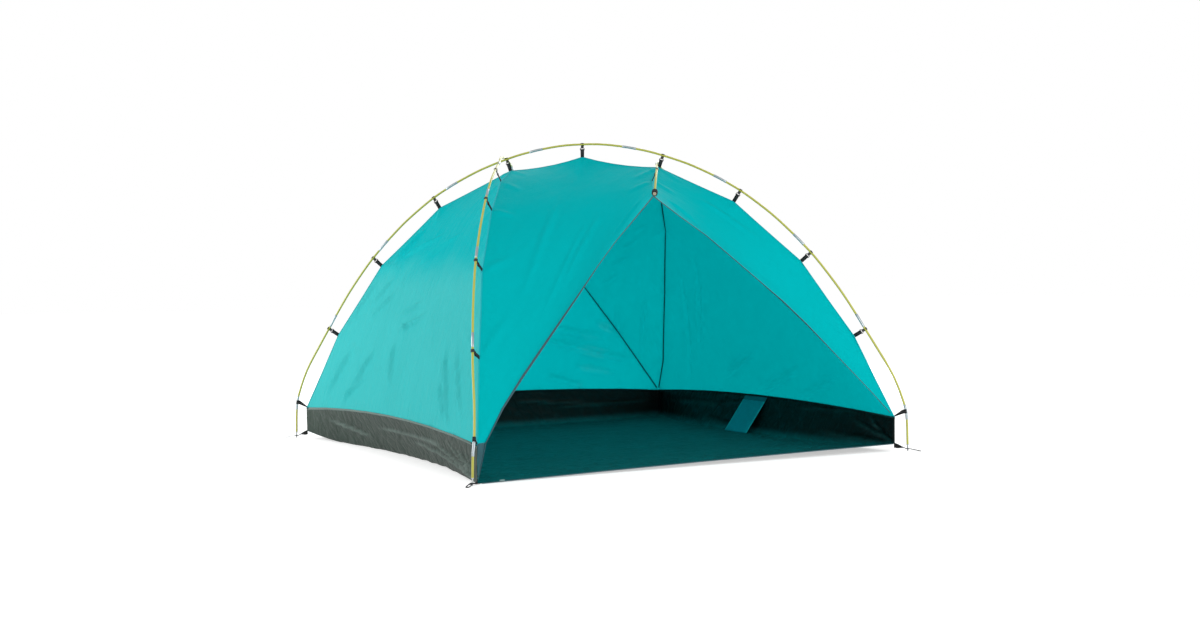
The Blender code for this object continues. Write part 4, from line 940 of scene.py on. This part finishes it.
# Painted shade: the floor keeps the dark teal cloth colour, and the same cloth on the wall above 0.008 to
# 0.045 m is painted near black, as if in shade. Its pale colour is painted highlight on the creases.
tub_inside = crumpled("tub_dark_teal_inside_painted_shade", (0.0, 0.105, 0.108), (0.0002, 0.006, 0.006),
                      (0.003, 0.045, 0.045), 0.05, (0.008, 0.045))
corner_folds = [((474, 481), (428, 440), 0.008, 0.006), ((474, 479), (456, 448), 0.007, 0.006),
                ((474, 481), (410, 440), 0.009, 0.005), ((474, 480), (446, 442), 0.007, 0.006),
                ((472, 482), (390, 446), 0.010, 0.005), ((474, 478), (464, 450), 0.006, 0.005),
                ((440, 445), (380, 428), 0.010, 0.005), ((370, 436), (330, 420), 0.010, 0.005),
                ((890, 440), (850, 418), 0.010, 0.006), ((890, 441), (868, 416), 0.010, 0.006),
                ((890, 443), (820, 432), 0.012, 0.006), ((750, 432), (700, 415), 0.012, 0.006),
                ((700, 405), (760, 402), 0.008, 0.006), ((800, 408), (860, 412), 0.008, 0.006),
                ((670, 400), (720, 404), 0.008, 0.006), ((520, 402), (600, 404), 0.008, 0.006),
                ((560, 408), (650, 400), 0.008, 0.006)]

tub_mesh = smooth_copy(outer_skin("bathtub_floor", tub_middle), "bathtub_floor_cloth",
                       cloth_levels, tub_fold_angle)
far = rim_distance(tub_mesh)
tub_folds = seen_folds(tub_mesh, corner_folds)
normals = [v.normal.copy() for v in tub_mesh.vertices]
# How far each point stands up on a corner fold, kept as the mask of the painted highlight on the fold
# crests.
crest_highlights = []
for vertex, normal, edge in zip(tub_mesh.vertices, normals, far):
    point = vertex.co.copy()
    raised = sum(fold(point, normal, *item) for item in tub_folds)
    crest_highlights.append(min(max(raised / crest_height, 0.0), 1.0))
    held = ease(0.0, tub_held_rim, edge)
    crinkle = sum(share * noise.noise(point * pitch) for pitch, share in crinkle_pitches)
    if normal.z < floor_facing:
        from_wall = floor_half - max(abs(point.x), abs(point.y))
        wide, long = swell_pitches
        swell = abs(noise.noise(Vector((point.x * wide, point.y * long, 0.0))))
        height = floor_crinkle * abs(crinkle) + floor_swell * swell
        vertex.co.z = point.z + height * held * ease(0.0, floor_held_rim, from_wall)
    else:
        height = wall_crinkle * crinkle + raised
        away = Vector((normal.x, normal.y, 0))
        vertex.co = point + away * height * held * ease(*wall_foot, point.z)
tub_mesh.update()
for attribute, values in (("rim_distance", far), ("fold_crest_highlight", crest_highlights)):
    tub_mesh.attributes.new(attribute, "FLOAT", "POINT").data.foreach_set("value", values)
cloth_uv(tub_mesh, (0, 1, 0))
tub = add_piece("bathtub_floor_cloth", tub_mesh, tub_outside, tub_inside, sharp_angle=50)
thicken(tub, tub_thickness, inner=1)
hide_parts("bathtub_floor")
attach(tub, "tent")

# Wall seam.
# The tub's wall and the canopy are sewn together, with a grey piping over the joint
# outside and a narrow dark tape over it inside.
joint_half, joint_thickness = 0.0035, 0.0006
piping_off, joint_tape_off = 0.0014, 0.0022
joint_lean_share, joint_crown_share = 0.3, 1.3
rim_low, rim_start_angle = 0.10, 0.70
wall_top = outer_skin("bathtub_floor", tub_middle)
rim = [v.co.copy() for v in wall_top.verts if v.is_boundary and v.co.z > rim_low]
wall_top.free()
rim.sort(key=lambda spot: (-math.atan2(spot.x, -spot.y) - rim_start_angle) % (2 * math.pi))
piping_cloth = stitched("wall_piping_grey", (0.15, 0.21, 0.19), (0.20, 0.27, 0.25), 2 * joint_half)
joint_tape = stitched("wall_joint_tape_dark", (0.003, 0.03, 0.032), (0.01, 0.06, 0.06),
                      2 * joint_half)
for name, way, gap, cloth in (("wall_piping", 1, piping_off, piping_cloth),
                              ("wall_joint_tape", -1, joint_tape_off, joint_tape)):
    rows = []
    for spot in rim:
        sideways = abs(spot.x) > abs(spot.y)
        away = Vector((math.copysign(sideways, spot.x), math.copysign(not sideways, spot.y), 0))
        off = away * way * gap
        up = Vector((0, 0, joint_half)) - away * joint_half * joint_lean_share
        row = [spot + off - up, spot + off * joint_crown_share, spot + off + up]
        rows.append(row[::-1] if way > 0 else row)
    joint = strip(name, rows, cloth)
    thicken(joint, joint_thickness)
    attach(joint, "tent")

# Edge bindings.
# Grey woven tape is folded over the canopy's two front edges and the floor's front edge,
# where a small blank tab of paler tape is caught in the hem near its left end.
binding_width = 0.011
binding_tape = stitched("binding_grey_tape", wedge_grey, (0.13, 0.19, 0.20), binding_width)
for node in ("opening_binding_left", "opening_binding_right", "front_hem_binding"):
    mesh = finished_mesh(merged_copy(node, tape_merge), node + "_tape")
    cloth_uv(mesh, (1, 0, 0.7))
    piece = add_piece(node + "_tape", mesh, binding_tape, sharp_angle=40)
    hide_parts(node)
    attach(piece, "tent")

tab_left, tab_width, tab_thickness, tab_gap = -0.915, 0.022, 0.0006, 0.0008
tab_z, tab_rise, tab_under, tab_lean = 0.0042, 0.007, 0.010, 0.002
tab_right, tab_y = tab_left + tab_width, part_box("front_hem_binding")[0].y - tab_gap
pale_tape = stitched("hem_tab_pale_tape", (0.22, 0.34, 0.34), (0.30, 0.42, 0.42), tab_width)
tab_rows = [((tab_left, y, z), (tab_right, y, z))
            for y, z in ((tab_y + tab_under, tab_z), (tab_y, tab_z), (tab_y - tab_lean, tab_z + tab_rise))]
hem_tab = strip("hem_tab_tape", tab_rows, pale_tape)
thicken(hem_tab, tab_thickness)
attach(hem_tab, "tent")

# Stash pocket.
# A hanging flap on the right tub wall's inside, with a darker header where it is sewn on
# and a paler hem down each side.
low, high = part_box("stash_pocket")
header, side_hem, pocket_thickness = 0.020, 0.009, 0.0006
pocket_levels, pocket_unevenness = 3, 0.0030
flap = Finish("pocket_flap_cloth")
place = flap.place()
weave = flap.node("TexNoise", {"Vector": place, "Scale": 60.0, "Detail": 5.0})
from_side = (flap.node("SeparateXYZ", {0: place}, output=1) - (low.y + high.y) / 2).sum("ABSOLUTE")
up = flap.node("SeparateXYZ", {0: place}, output=2)
tint = flap.mix(weave, (0.0, 0.28, 0.34), (0.0, 0.22, 0.27))
side_hems = from_side.sum("GREATER_THAN", (high.y - low.y) / 2 - side_hem)
tint = flap.mix(side_hems, tint, (0.01, 0.38, 0.42))
tint = flap.mix(up.sum("GREATER_THAN", high.z - header), tint, (0.0, 0.12, 0.15))
ripple = flap.node("Bump", {"Height": weave * 0.003, "Strength": 0.6, "Distance": 1.0})
pocket_cloth = flap.set(Base_Color=tint, Roughness=weave * 0.2 + 0.5, Normal=ripple,
                        Specular_IOR_Level=0.2)
behind_pocket = Vector((1.2, 0.1, 0.1))
pocket_mesh = smooth_copy(outer_skin("stash_pocket", behind_pocket), "stash_pocket_cloth",
                          pocket_levels)
crease_cloth(pocket_mesh, folds=[], grain=(0, 0, 1), depth=pocket_unevenness, seed=21.0)
cloth_uv(pocket_mesh, (0, 0, 1))
pocket = add_piece("stash_pocket_cloth", pocket_mesh, pocket_cloth)
thicken(pocket, pocket_thickness)
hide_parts("stash_pocket")
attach(pocket, "tent")

# Corner straps, peg loops and the brow sleeve.
# Black webbing again: a strap with eyelets for the pole tips at each corner, a loop for a
# peg outside it, and the square sleeve that the brow pole's front end is pushed into.
ground_strap_width = 0.020
flat_angle = 0.02
strap_plain = webbing("strap_plain_webbing", webbing_colour, (0.022, 0.023, 0.024),
                      ground_strap_width)
for node in list(frame["nodes"]):
    if node.startswith(("ground_strap_", "peg_loop_")) or node == "brow_sleeve":
        bm = merged_copy(node, tape_merge)
        bmesh.ops.dissolve_limit(bm, angle_limit=flat_angle, verts=bm.verts, edges=bm.edges)
        mesh = finished_mesh(bm, node + "_webbing")
        cloth_uv(mesh, (1, 1, 0) if node.endswith(("br", "fl")) else (1, -1, 0))
        piece = add_piece(node + "_webbing", mesh, strap_plain, sharp_angle=35)
        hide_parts(node)
        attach(piece, node if node.startswith("peg_loop_") else "tent")

gusset_half, gusset_rows, gusset_thickness = 0.011, 8, 0.0012
gusset_inner, gusset_outer, gusset_narrowing_share = 0.9975, 1.030, 0.35
gusset_drop, gusset_rise = 0.008, 0.0050
for node in list(frame["nodes"]):
    if node.startswith("ground_strap_"):
        low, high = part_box(node)
        way = Vector((math.copysign(1, low.x + high.x), math.copysign(1, low.y + high.y), 0))
        across = Vector((-way.y, way.x, 0)).normalized()
        inner, outer = way * gusset_inner, way * gusset_outer
        inner.z = max(high.z - gusset_drop, gusset_half)
        outer.z = low.z + gusset_rise
        rows = []
        for k in range(gusset_rows + 1):
            share = k / gusset_rows
            turned = math.radians(90) * ease(0.0, 1.0, share)
            edge = (Vector((0, 0, 1)) * math.cos(turned) + across * math.sin(turned)) * gusset_half
            edge *= 1 - gusset_narrowing_share * share
            spot = inner.lerp(outer, share)
            rows.append((spot - edge, spot, spot + edge))
        gusset = strip(node.replace("ground_strap", "corner_gusset"), rows, strap_plain)
        thicken(gusset, gusset_thickness, offset=0.0)
        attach(gusset, "tent")
